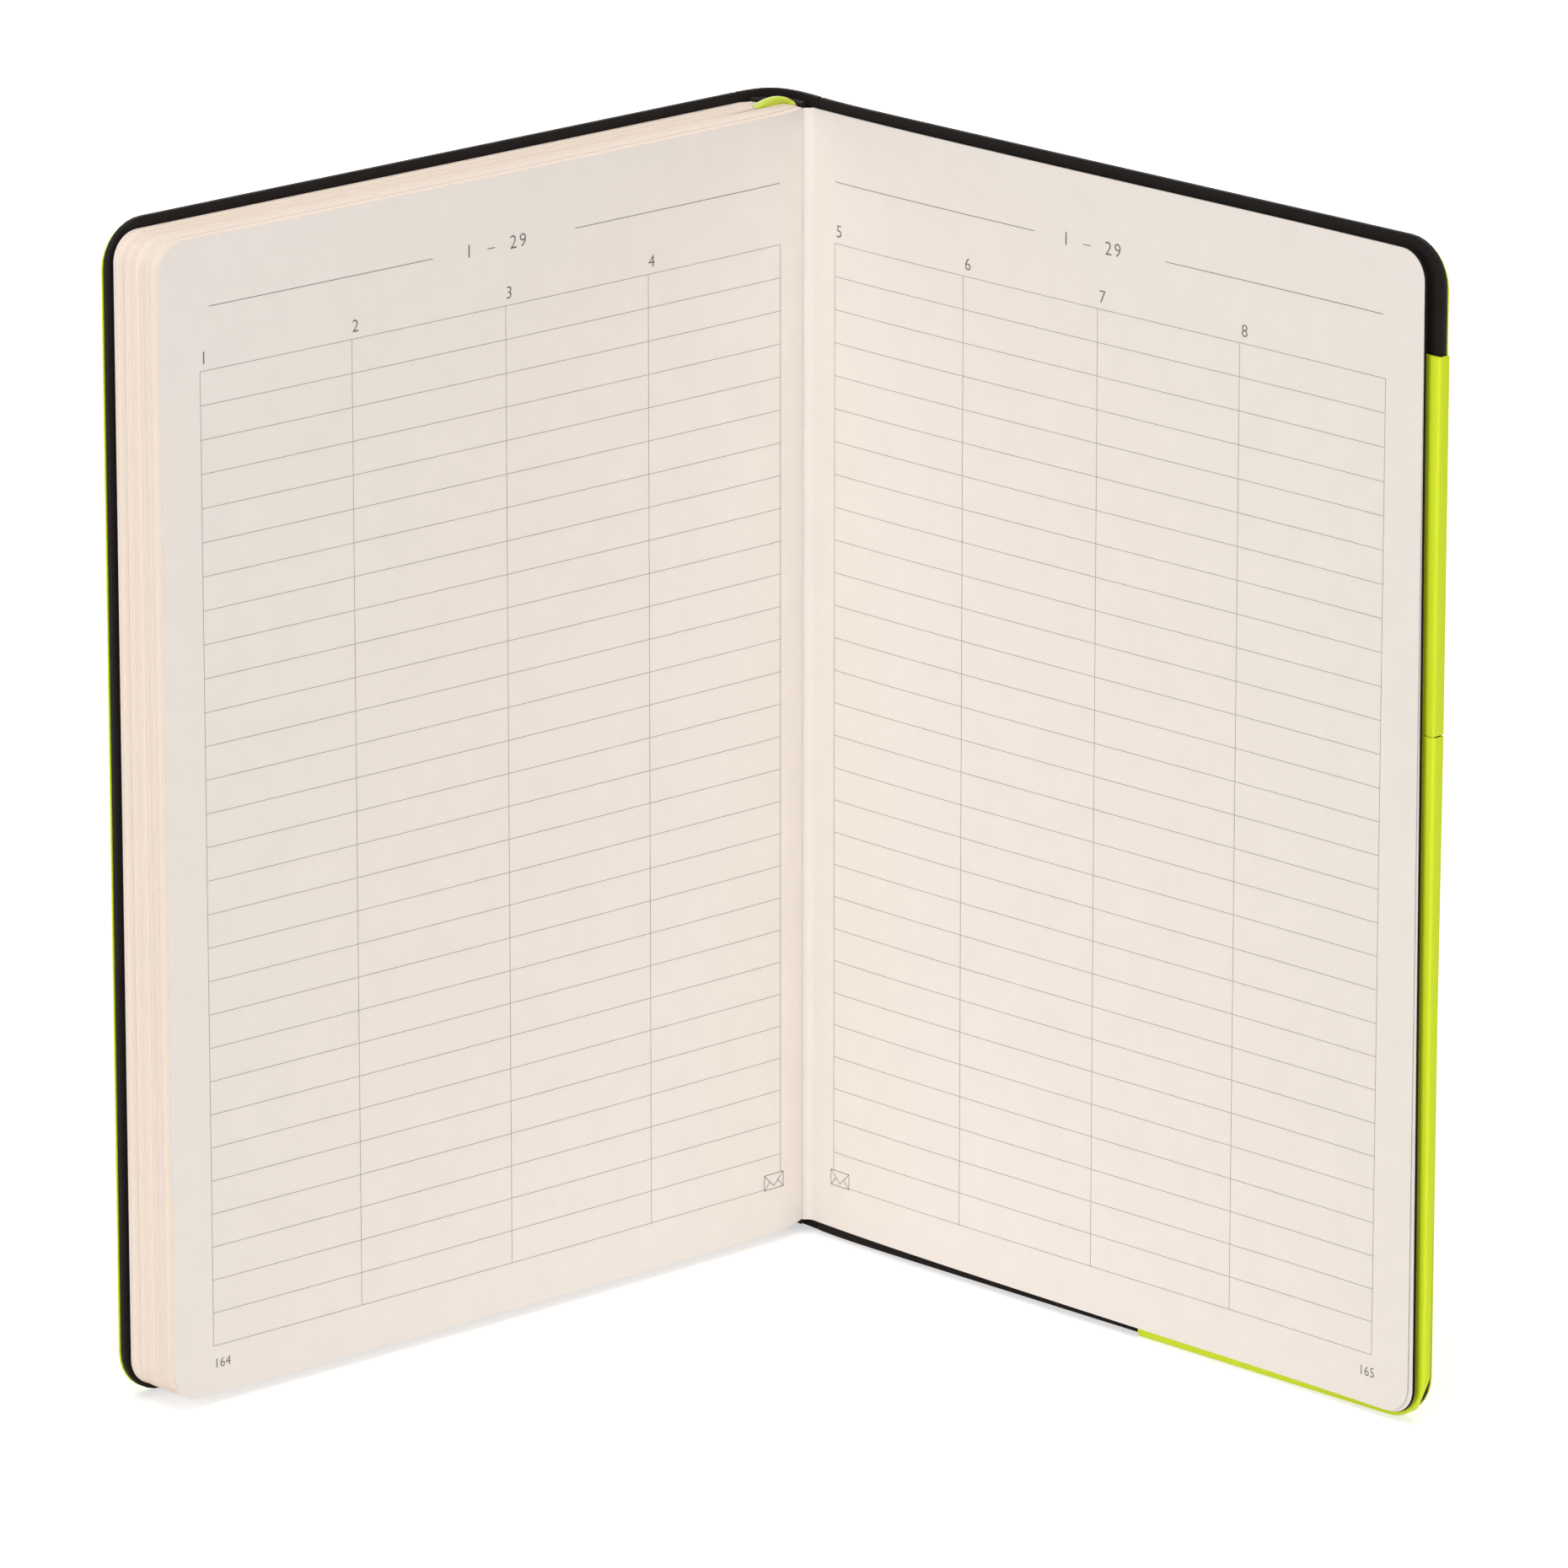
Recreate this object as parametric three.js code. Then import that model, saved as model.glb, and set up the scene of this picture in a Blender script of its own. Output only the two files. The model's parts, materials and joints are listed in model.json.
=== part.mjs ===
// A lined notebook with a soft cover. It stands on its tail edge, open near its last leaf.
// Millimetres, +Z up. The reader stands on the -Y side, the spine is at the back.
// Plan places are given on two sides, left and right of the gutter. On each side s runs from
// the gutter to the fore edge, and n runs from the face that is read to the outside of the cover.
import * as THREE from 'three';

// How far each half is turned from the line of sight, in degrees
const LEFT_TURN = 48.5;
const RIGHT_TURN = 45.8;

// Leaves
const PAGE_HEIGHT = 206;
const PAGE_WIDTH = 145;
const PAGE_CORNER = 5.2;
const LEAF = 0.12;
const LEAF_GAP = 0.15;
const ENDPAPER = 0.15;
const SIGNATURES = 12;
const SIGNATURE_GAP = 0.05;
const BLOCK_THICKNESS = 11.6;
const BLOCK_SHEAR = 0.5;
const BLOCK_SWELL = 0.4;
const SWELL_LENGTH = 30;

// Rounded back of the block: where its first leaf starts, how far the others lean, its roundness
const BACK_START = -0.6;
const BACK_LEAN = 5.2;
const BACK_ROUND = 1;

// The open page on the left dips into the gutter and bulges at mid-page
const LEFT_DIP = 1.9;
const LEFT_DIP_START = 1.7;
const LEFT_DIP_LENGTH = 3;
const LEFT_BULGE = 0.6;

// The page on the right leaves the gutter behind its own plane and flattens out
const RIGHT_DEPTH = 0.4;
const RIGHT_DIP = 1.7;
const RIGHT_DIP_START = 1;
const RIGHT_DIP_LENGTH = 22;

// Case: two covers and the spine strip between them, each of a lining, a board and a skin
const OVERHANG = 1.7;
const FORE_OVERHANG = 1.6;
const COVER_CORNER = 8;
const LINING = 0.2;
const BOARD = 0.95;
const SKIN = 0.3;
const LAYER_GAP = 0.05;
const SKIN_INSET = 0.6;
const CASE = LINING + BOARD + SKIN + 2 * LAYER_GAP;

// Joints between the covers and the spine strip
const FRONT_JOINT_ROOM = 0.4;
const BACK_JOINT = 0.3;
const JOINT_GAP = 0.15;
const BACK_BEND = 0.9;
const BACK_BEND_LENGTH = 6;

// Pocket of yellow card on the back cover
const CARD = 0.25;
const POCKET_HEIGHT = 189.7;
const POCKET_SEAM_HEIGHT = 123.2;
const POCKET_TAIL_LENGTH = 66;
const POCKET_MOUTH_WIDTH = 14;
const POCKET_MOUTH_FOOT = 5.7;
const POCKET_ROOM = 0.4;
const FLAP_ROOM = 0.31;
const FLAP_INSIDE = 7;
const TAIL_FLAP_SLANT = 1.2;

// What is glued to the back of the block
const GLUE_GAP = 0.1;
const TRIM_GAP = 0.5;
const THREAD = 0.2;
const THREAD_WIDTH = 0.3;
const THREAD_INSET = 4;
const GAUZE_THICKNESS = 0.2;
const BAND = 0.45;
const BAND_HEIGHT = 9;
const BAND_PROUD = 0.8;

// Ribbon marker: it lies after signature 6
const RIBBON_WIDTH = 6;
const RIBBON = 0.2;
const RIBBON_AFTER = 6;
const RIBBON_ROOM = 0.5;
const RIBBON_GLUED_LENGTH = 22;
const RIBBON_SHORT = 14;
const RIBBON_INSIDE = 8;
const RIBBON_ARCH = 1.4;

// Heights above the floor. The pocket's tail flap is folded under the back cover.
const COVER_FOOT = CARD + LAYER_GAP;
const COVER_HEAD = COVER_FOOT + PAGE_HEIGHT + 2 * OVERHANG;
const PAGE_FOOT = COVER_FOOT + OVERHANG;
const PAGE_HEAD = PAGE_FOOT + PAGE_HEIGHT;
const RIBBON_GLUED_FROM = PAGE_HEAD - RIBBON_GLUED_LENGTH;
const POCKET_TOP = COVER_FOOT + POCKET_HEIGHT;
const POCKET_SEAM = COVER_FOOT + POCKET_SEAM_HEIGHT;
const TAIL_FLAP_TOP = COVER_FOOT + COVER_CORNER;

// Depths from the face that is read
const FRONT_LINING = BLOCK_THICKNESS + BLOCK_SWELL + GLUE_GAP + ENDPAPER + LAYER_GAP;
const FRONT_OUTSIDE = FRONT_LINING + CASE;
const RIGHT_STACK = 2 * LEAF + ENDPAPER + 2 * LEAF_GAP;
const FLAP_DEPTH = RIGHT_DEPTH + RIGHT_STACK + FLAP_ROOM;
const PANEL_DEPTH = FLAP_DEPTH + CARD + LAYER_GAP;
const BACK_LINING = PANEL_DEPTH + CARD + POCKET_ROOM;
const BACK_OUTSIDE = BACK_LINING + CASE;

// Distances from the gutter
const COVER_REACH = PAGE_WIDTH + FORE_OVERHANG;
const FRONT_JOINT = BACK_START + BACK_LEAN + FRONT_JOINT_ROOM;
const TAIL_START = COVER_REACH - POCKET_TAIL_LENGTH;

const PAPER = new THREE.MeshStandardMaterial({ color: 0xeee2d4, roughness: 0.9, metalness: 0 });
const BLACK = new THREE.MeshStandardMaterial({ color: 0x231e1e, roughness: 0.8, metalness: 0 });
const NEON = new THREE.MeshStandardMaterial({ color: 0xd4e52c, roughness: 0.6, metalness: 0 });
const TEXTILE = new THREE.MeshStandardMaterial({ color: 0xcfc7b8, roughness: 0.95, metalness: 0 });
const SATIN = new THREE.MeshStandardMaterial({ color: 0xc4cc56, roughness: 0.5, metalness: 0 });

// One side of the open notebook: its direction along the pages and out through them
function side(alongX, alongY, outX, outY) {
  const along = new THREE.Vector3(alongX, alongY, 0);
  const out = new THREE.Vector3(outX, outY, 0);
  return { along, out };
}

const leftTurn = THREE.MathUtils.degToRad(LEFT_TURN);
const rightTurn = THREE.MathUtils.degToRad(RIGHT_TURN);
const LEFT = side(-Math.sin(leftTurn), -Math.cos(leftTurn), -Math.cos(leftTurn), Math.sin(leftTurn));
const RIGHT = side(Math.sin(rightTurn), -Math.cos(rightTurn), Math.cos(rightTurn), Math.sin(rightTurn));

function place({ along, out }, s, n, z = 0) {
  return new THREE.Vector3(0, 0, z).addScaledVector(along, s).addScaledVector(out, n);
}

// One closed body through a row of cross-sections with the same number of corners.
// Corner 0 of a section sees all the others, so a fan from it closes each end.
// Each side is cut along its shorter diagonal, so the two faces of a twisted strip agree.
function loft(name, material, sections) {
  const corners = sections[0].length;
  const points = sections.flat();
  const faces = [];
  for (let row = 0; row + 1 < sections.length; row++) {
    for (let corner = 0; corner < corners; corner++) {
      const next = (corner + 1) % corners;
      const a = row * corners + corner;
      const b = row * corners + next;
      const c = a + corners;
      const d = b + corners;
      if (points[a].distanceTo(points[d]) < points[b].distanceTo(points[c])) {
        faces.push([a, b, d], [a, d, c]);
      } else {
        faces.push([a, b, c], [b, d, c]);
      }
    }
  }
  const last = (sections.length - 1) * corners;
  for (let corner = 1; corner + 1 < corners; corner++) {
    faces.push([0, corner + 1, corner], [last, last + corner, last + corner + 1]);
  }
  const volume = faces.reduce((sum, [a, b, c]) => (
    sum + points[a].dot(new THREE.Vector3().crossVectors(points[b], points[c]))
  ), 0);
  const outward = volume > 0 ? faces : faces.map(([a, b, c]) => [a, c, b]);
  const geometry = new THREE.BufferGeometry().setFromPoints(points);
  geometry.setIndex(outward.flat());
  geometry.computeVertexNormals();
  const mesh = new THREE.Mesh(geometry, material);
  mesh.name = name;
  return mesh;
}

// An upright four-cornered section between two plan points
function upright(inner, outer, foot, head) {
  return [
    inner.clone().setZ(foot),
    inner.clone().setZ(head),
    outer.clone().setZ(head),
    outer.clone().setZ(foot),
  ];
}

// Places along s from start to end: close near the gutter, then even steps, then a corner's arc
const GUTTER_STEPS = [0, 0.9, 2, 4, 7, 12];
const EVEN_STEPS = 6;
const CORNER_STEPS = 5;

function cornerSteps(end, radius) {
  return Array.from({ length: CORNER_STEPS }, (_, i) => (
    end - radius + radius * Math.sin(Math.PI / 2 * (i + 1) / CORNER_STEPS)
  ));
}

function stepsAlong(start, end, radius) {
  const first = start + GUTTER_STEPS[GUTTER_STEPS.length - 1];
  const steps = GUTTER_STEPS.map((step) => start + step);
  for (let i = 1; i <= EVEN_STEPS; i++) {
    steps.push(first + (end - radius - first) * i / EVEN_STEPS);
  }
  return [...steps, ...cornerSteps(end, radius)];
}

// How far a round corner draws the foot and head in at s
function cornerDraw(s, end, radius) {
  const past = Math.max(0, s - (end - radius));
  return radius - Math.sqrt(Math.max(0, radius * radius - past * past));
}

// A sheet on one side. inner and outer give its two faces as depths at s.
function sheet(name, material, half, { start, end, radius, foot, head, inner, outer }) {
  const sections = stepsAlong(start, end, radius).map((s) => {
    const draw = cornerDraw(s, end, radius);
    return upright(place(half, s, inner(s)), place(half, s, outer(s)), foot + draw, head - draw);
  });
  return loft(name, material, sections);
}

// The face of the open page on the left
function leftPage(s) {
  const bulge = LEFT_BULGE * Math.sin(Math.PI * Math.min(1, Math.max(0, s / PAGE_WIDTH)));
  return LEFT_DIP * Math.exp(-(s + LEFT_DIP_START) / LEFT_DIP_LENGTH) - bulge;
}

// The back of the block, a little thicker by the spine
function blockBack(s) {
  return BLOCK_THICKNESS + BLOCK_SWELL * Math.exp(-Math.max(0, s) / SWELL_LENGTH);
}

// Depth inside the block, from 0 at the open page to 1 at its back
function blockDepth(s, share) {
  return (1 - share) * leftPage(s) + share * blockBack(s);
}

// Where the leaves start at the rounded back of the block
function blockStart(share) {
  return BACK_START + BACK_LEAN * share * share - BACK_ROUND * Math.sin(Math.PI * share);
}

function blockEnd(share) {
  return PAGE_WIDTH + BLOCK_SHEAR * share;
}

// A place behind the rounded back of the block
function behindBack(share, distance, z = 0) {
  const s = blockStart(share);
  return place(LEFT, s - distance, blockDepth(s, share), z);
}

// Signature 1 lies by the front cover and the last one holds the open page
function signature(number) {
  const step = 1 / SIGNATURES;
  const room = number === RIBBON_AFTER ? RIBBON_ROOM : SIGNATURE_GAP;
  const shift = number === SIGNATURES ? 0 : room / BLOCK_THICKNESS;
  const far = (SIGNATURES + 1 - number) * step;
  const near = far - step + shift;
  const farSteps = stepsAlong(blockStart(far), blockEnd(far), PAGE_CORNER);
  const nearSteps = stepsAlong(blockStart(near), blockEnd(near), PAGE_CORNER);
  const sections = nearSteps.map((s, i) => {
    const draw = cornerDraw(s, blockEnd(near), PAGE_CORNER);
    const inner = place(LEFT, s, blockDepth(s, near));
    const outer = place(LEFT, farSteps[i], blockDepth(farSteps[i], far));
    return upright(inner, outer, PAGE_FOOT + draw, PAGE_HEAD - draw);
  });
  const label = String(number).padStart(2, '0');
  return loft(`signature_${label}`, PAPER, sections);
}

// The sewing thread runs up and down the folds of the signatures, on the back of the block
function sewingThread() {
  const foot = PAGE_FOOT + BAND_HEIGHT + TRIM_GAP + THREAD_INSET;
  const head = RIBBON_GLUED_FROM - TRIM_GAP - THREAD_INSET;
  const half = THREAD_WIDTH / 2;
  const sections = [];
  for (let run = 0; run < SIGNATURES; run++) {
    const climbs = run % 2 === 0;
    const share = (run + 0.5) / SIGNATURES;
    const aside = (climbs ? half : -half) / BLOCK_THICKNESS;
    for (const z of climbs ? [foot, head] : [head, foot]) {
      sections.push([
        behindBack(share - aside, GLUE_GAP, z + half),
        behindBack(share - aside, GLUE_GAP + THREAD, z + half),
        behindBack(share + aside, GLUE_GAP + THREAD, z - half),
        behindBack(share + aside, GLUE_GAP, z - half),
      ]);
    }
  }
  return loft('sewing_thread', TEXTILE, sections);
}

// A strip that follows the rounded back of the block, between two distances behind it.
// first and last count signatures from the open page.
function backStrip(name, material, { first, last, near, far, foot, head }) {
  const sections = [];
  for (let i = first; i <= last; i++) {
    const share = i / SIGNATURES;
    sections.push(upright(behindBack(share, near), behindBack(share, far), foot, head));
  }
  return loft(name, material, sections);
}

// The face of the open page on the right
function rightPage(s) {
  return RIGHT_DEPTH + RIGHT_DIP * Math.exp(-Math.max(0, s + RIGHT_DIP_START) / RIGHT_DIP_LENGTH);
}

// A leaf on the right, so far behind the open page
function rightLeaf(name, material, start, depth, thickness) {
  return sheet(name, material, RIGHT, {
    start,
    end: PAGE_WIDTH,
    radius: PAGE_CORNER,
    foot: PAGE_FOOT,
    head: PAGE_HEAD,
    inner: (s) => rightPage(s) + depth,
    outer: (s) => rightPage(s) + depth + thickness,
  });
}

// The back cover bends outwards by the spine, clear of the leaves
function backBend(s) {
  return BACK_BEND * Math.exp(-s / BACK_BEND_LENGTH);
}

// The three layers of a cover, from its lining outwards
function cover(name, half, start, lining, bend) {
  const layer = (part, material, depth, thickness, inset) => sheet(`${name}_${part}`, material, half, {
    start,
    end: COVER_REACH,
    radius: COVER_CORNER,
    foot: COVER_FOOT + inset,
    head: COVER_HEAD - inset,
    inner: (s) => depth + bend(s),
    outer: (s) => depth + thickness + bend(s),
  });
  const board = lining + LINING + LAYER_GAP;
  const skin = board + BOARD + LAYER_GAP;
  return [
    layer('lining', BLACK, lining, LINING, 0),
    layer('board', BLACK, board, BOARD, 0),
    layer('skin', NEON, skin, SKIN, SKIN_INSET),
  ];
}

// The spine strip bends from the front cover round the block to the back cover.
// The pulls say how far it runs on in line with each cover before it bends.
const STRIP_STEPS = 12;
const FRONT_PULL = 0.69 * BLOCK_THICKNESS;
const BACK_PULL = 0.95 * BLOCK_THICKNESS;
function stripCurve() {
  const start = place(LEFT, FRONT_JOINT - JOINT_GAP, FRONT_OUTSIDE);
  const end = place(RIGHT, BACK_JOINT - JOINT_GAP, BACK_OUTSIDE + BACK_BEND);
  const leave = start.clone().addScaledVector(LEFT.along, -FRONT_PULL);
  const arrive = end.clone().addScaledVector(RIGHT.along, -BACK_PULL);
  arrive.addScaledVector(RIGHT.out, BACK_PULL * BACK_BEND / BACK_BEND_LENGTH);
  return new THREE.CubicBezierCurve3(start, leave, arrive, end);
}

function spineStrip() {
  const curve = stripCurve();
  const stations = curve.getPoints(STRIP_STEPS).map((point, i) => {
    const tangent = curve.getTangent(i / STRIP_STEPS);
    return { point, inward: new THREE.Vector3(tangent.y, -tangent.x, 0) };
  });
  const layer = (name, material, depth, thickness, inset) => loft(name, material, stations.map((at) => (
    upright(
      at.point.clone().addScaledVector(at.inward, depth + thickness),
      at.point.clone().addScaledVector(at.inward, depth),
      COVER_FOOT + inset,
      COVER_HEAD - inset,
    )
  )));
  return [
    layer('spine_skin', NEON, 0, SKIN, SKIN_INSET),
    layer('spine_board', BLACK, SKIN + LAYER_GAP, BOARD, 0),
    layer('spine_lining', BLACK, SKIN + BOARD + 2 * LAYER_GAP, LINING, 0),
  ];
}

// The ribbon is glued to the back of the block, arches over its head and lies between two signatures
const RIBBON_SHARE = (SIGNATURES - RIBBON_AFTER) / SIGNATURES;
const RIBBON_BEHIND = 2 * GLUE_GAP + RIBBON / 2;
const UP = new THREE.Vector3(0, 0, 1);

// Middle and edges of the glued ribbon, and the way its outer face looks
function ribbonGlued(z) {
  const aside = RIBBON_WIDTH / 2 / BLOCK_THICKNESS;
  return {
    middle: behindBack(RIBBON_SHARE, RIBBON_BEHIND, z),
    edges: [1, -1].map((way) => behindBack(RIBBON_SHARE + way * aside, RIBBON_BEHIND, z)),
    facing: LEFT.along.clone().negate(),
  };
}

// The same off the back. The turn of its width and the lean of its face are in quarter turns.
function ribbonFree(s, n, z, turn, lean) {
  const angle = Math.PI / 2 * turn;
  const tilt = Math.PI / 2 * lean;
  const across = LEFT.out.clone().multiplyScalar(Math.cos(angle));
  across.addScaledVector(LEFT.along, Math.sin(angle));
  const level = LEFT.along.clone().multiplyScalar(-Math.cos(angle));
  level.addScaledVector(LEFT.out, Math.sin(angle));
  const middle = place(LEFT, s, n, z);
  return {
    middle,
    edges: [1, -1].map((way) => middle.clone().addScaledVector(across, way * RIBBON_WIDTH / 2)),
    facing: level.multiplyScalar(Math.cos(tilt)).addScaledVector(UP, Math.sin(tilt)),
  };
}

function ribbon() {
  const spine = blockStart(RIBBON_SHARE);
  const depth = blockDepth(spine, RIBBON_SHARE);
  const inside = blockDepth(RIBBON_INSIDE, RIBBON_SHARE) + RIBBON_ROOM / 2;
  const back = spine - RIBBON_BEHIND;
  const bridge = RIBBON_INSIDE - back;
  const stations = [
    ribbonGlued(RIBBON_GLUED_FROM),
    ribbonGlued(PAGE_HEAD + 0.2 * RIBBON_ARCH),
    ribbonFree(back + 0.05 * bridge, depth, PAGE_HEAD + 0.75 * RIBBON_ARCH, 0.27, 0.5),
    ribbonFree(back + 0.22 * bridge, depth, PAGE_HEAD + RIBBON_ARCH, 0.45, 1),
    ribbonFree(back + 0.5 * bridge, depth, PAGE_HEAD + RIBBON_ARCH, 0.7, 1),
    ribbonFree(back + 0.9 * bridge, inside, PAGE_HEAD + 0.75 * RIBBON_ARCH, 0.95, 1.5),
    ribbonFree(RIBBON_INSIDE, inside, PAGE_HEAD + 0.2 * RIBBON_ARCH, 1, 2),
    ribbonFree(RIBBON_INSIDE, inside, PAGE_FOOT + RIBBON_SHORT, 1, 2),
  ];
  return loft('ribbon_marker', SATIN, stations.map(({ middle, edges, facing }) => {
    const near = (point) => point.clone().addScaledVector(facing, -RIBBON / 2);
    const far = (point) => point.clone().addScaledVector(facing, RIBBON / 2);
    return [near(middle), near(edges[0]), far(edges[0]), far(middle), far(edges[1]), near(edges[1])];
  }));
}

// Pocket: a card panel with a slanted mouth, and flaps folded round the cover's edges
function pocketPanel() {
  const mouthEnd = COVER_REACH - POCKET_MOUTH_WIDTH;
  const mouthFoot = COVER_FOOT + POCKET_MOUTH_FOOT;
  const steps = [
    TAIL_START,
    (TAIL_START + mouthEnd) / 2,
    mouthEnd,
    COVER_REACH - COVER_CORNER,
    ...cornerSteps(COVER_REACH, COVER_CORNER),
  ];
  return loft('pocket_panel', NEON, steps.map((s) => {
    const climb = Math.min(1, (s - TAIL_START) / (mouthEnd - TAIL_START));
    const head = mouthFoot + (POCKET_TOP - mouthFoot) * climb;
    const foot = COVER_FOOT + cornerDraw(s, COVER_REACH, COVER_CORNER);
    return upright(place(RIGHT, s, PANEL_DEPTH), place(RIGHT, s, PANEL_DEPTH + CARD), foot, head);
  }));
}

// A flap folded round the fore edge between two heights
const FLAP_EDGE = COVER_REACH + LAYER_GAP;
function foreFlap(name, foot, head) {
  const inside = COVER_REACH - FLAP_INSIDE;
  const section = (z) => [
    place(RIGHT, FLAP_EDGE, FLAP_DEPTH + CARD, z),
    place(RIGHT, FLAP_EDGE, BACK_OUTSIDE, z),
    place(RIGHT, FLAP_EDGE + CARD, BACK_OUTSIDE, z),
    place(RIGHT, FLAP_EDGE + CARD, FLAP_DEPTH, z),
    place(RIGHT, inside, FLAP_DEPTH, z),
    place(RIGHT, inside, FLAP_DEPTH + CARD, z),
  ];
  return loft(name, NEON, [section(foot), section(head)]);
}

// The flap folded under the tail edge goes on round the corner, up to the flap at the fore edge
function tailFlap() {
  const centre = { s: COVER_REACH - COVER_CORNER, z: COVER_FOOT + COVER_CORNER };
  const section = (angle, shift, slant) => {
    const at = (radius, n, moved) => place(
      RIGHT,
      centre.s + shift + moved + radius * Math.sin(angle),
      n,
      centre.z - radius * Math.cos(angle),
    );
    const edge = COVER_CORNER + LAYER_GAP;
    const inside = COVER_CORNER - FLAP_INSIDE;
    return [
      at(edge, FLAP_DEPTH + CARD, 0),
      at(edge, BACK_OUTSIDE, 0),
      at(edge + CARD, BACK_OUTSIDE, slant),
      at(edge + CARD, FLAP_DEPTH, slant),
      at(inside, FLAP_DEPTH, 0),
      at(inside, FLAP_DEPTH + CARD, 0),
    ];
  };
  const sections = [section(0, TAIL_START - centre.s, TAIL_FLAP_SLANT)];
  for (let i = 0; i <= CORNER_STEPS; i++) {
    sections.push(section(Math.PI / 2 * i / CORNER_STEPS, 0, 0));
  }
  return loft('pocket_tail_flap', NEON, sections);
}

const notebook = new THREE.Group();
for (let number = 1; number <= SIGNATURES; number++) {
  notebook.add(signature(number));
}

// The black leaf between the block and the front cover
notebook.add(sheet('front_free_endpaper', BLACK, LEFT, {
  start: blockStart(1),
  end: blockEnd(1),
  radius: PAGE_CORNER,
  foot: PAGE_FOOT,
  head: PAGE_HEAD,
  inner: (s) => blockBack(s) + GLUE_GAP,
  outer: (s) => blockBack(s) + GLUE_GAP + ENDPAPER,
}));

// Thread, gauze over it, and the woven bands at the head and tail of the block
const GAUZE_BEHIND = 2 * GLUE_GAP + THREAD;
const HEAD_BAND_BEHIND = RIBBON_BEHIND + RIBBON / 2 + GLUE_GAP;
notebook.add(sewingThread());
notebook.add(backStrip('spine_gauze', TEXTILE, {
  first: 0,
  last: SIGNATURES,
  near: GAUZE_BEHIND,
  far: GAUZE_BEHIND + GAUZE_THICKNESS,
  foot: PAGE_FOOT + BAND_HEIGHT + TRIM_GAP,
  head: RIBBON_GLUED_FROM - TRIM_GAP,
}));
notebook.add(backStrip('head_band', BLACK, {
  first: 1,
  last: SIGNATURES - 1,
  near: HEAD_BAND_BEHIND,
  far: HEAD_BAND_BEHIND + BAND,
  foot: PAGE_HEAD - BAND_HEIGHT,
  head: PAGE_HEAD + BAND_PROUD,
}));
notebook.add(backStrip('tail_band', BLACK, {
  first: 1,
  last: SIGNATURES - 1,
  near: GLUE_GAP,
  far: GLUE_GAP + BAND,
  foot: PAGE_FOOT - BAND_PROUD,
  head: PAGE_FOOT + BAND_HEIGHT,
}));
notebook.add(ribbon());

notebook.add(...cover('front_cover', LEFT, FRONT_JOINT, FRONT_LINING, () => 0));
notebook.add(...spineStrip());
notebook.add(...cover('back_cover', RIGHT, BACK_JOINT, BACK_LINING, backBend));

// The leaves on the right start one behind the other in the gutter
const RIGHT_STARTS = [-1.1, -0.6, -0.2];
notebook.add(rightLeaf('last_ruled_leaf', PAPER, RIGHT_STARTS[0], 0, LEAF));
notebook.add(rightLeaf('last_plain_leaf', PAPER, RIGHT_STARTS[1], LEAF + LEAF_GAP, LEAF));
notebook.add(rightLeaf('back_free_endpaper', BLACK, RIGHT_STARTS[2], 2 * (LEAF + LEAF_GAP), ENDPAPER));

notebook.add(pocketPanel());
notebook.add(foreFlap('pocket_fore_flap_upper', POCKET_SEAM + JOINT_GAP, POCKET_TOP));
notebook.add(foreFlap('pocket_fore_flap_lower', TAIL_FLAP_TOP + LAYER_GAP, POCKET_SEAM - JOINT_GAP));
notebook.add(tailFlap());

// The origin is the middle of the footprint, on the floor
const box = new THREE.Box3().setFromObject(notebook, true);
const middle = box.getCenter(new THREE.Vector3());
notebook.position.set(-middle.x, -middle.y, -box.min.z);

export default notebook;
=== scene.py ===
"""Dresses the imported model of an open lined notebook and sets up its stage."""
import json
import math
import random

import bmesh
import bpy
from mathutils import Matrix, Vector


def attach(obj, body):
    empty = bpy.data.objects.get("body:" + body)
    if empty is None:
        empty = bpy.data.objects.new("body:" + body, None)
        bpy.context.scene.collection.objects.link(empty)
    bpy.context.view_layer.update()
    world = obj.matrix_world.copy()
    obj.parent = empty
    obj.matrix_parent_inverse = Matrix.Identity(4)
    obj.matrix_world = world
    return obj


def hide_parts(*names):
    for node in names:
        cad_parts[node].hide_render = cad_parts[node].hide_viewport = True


bl_info = {
    "name": "Lined Notebook",
    "version": (1, 0, 0),
    "blender": (4, 5, 0),
    "location": "View3D > Sidebar > Notebook",
    "description": "Builds an open notebook with ruled pages over its fixed frame",
    "category": "Object",
}

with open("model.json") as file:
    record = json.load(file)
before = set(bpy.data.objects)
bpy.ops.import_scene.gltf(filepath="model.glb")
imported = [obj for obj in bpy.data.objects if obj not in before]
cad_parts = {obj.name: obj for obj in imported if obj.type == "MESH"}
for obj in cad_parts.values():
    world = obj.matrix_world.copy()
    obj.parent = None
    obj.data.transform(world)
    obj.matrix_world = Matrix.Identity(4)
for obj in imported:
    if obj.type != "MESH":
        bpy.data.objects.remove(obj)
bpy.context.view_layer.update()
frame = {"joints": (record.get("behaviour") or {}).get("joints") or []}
MM = 0.001
TOUCH = MM / 100

# How far each half is turned from the line of sight
LEFT_TURN = math.radians(48.5)
RIGHT_TURN = math.radians(45.8)

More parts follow.
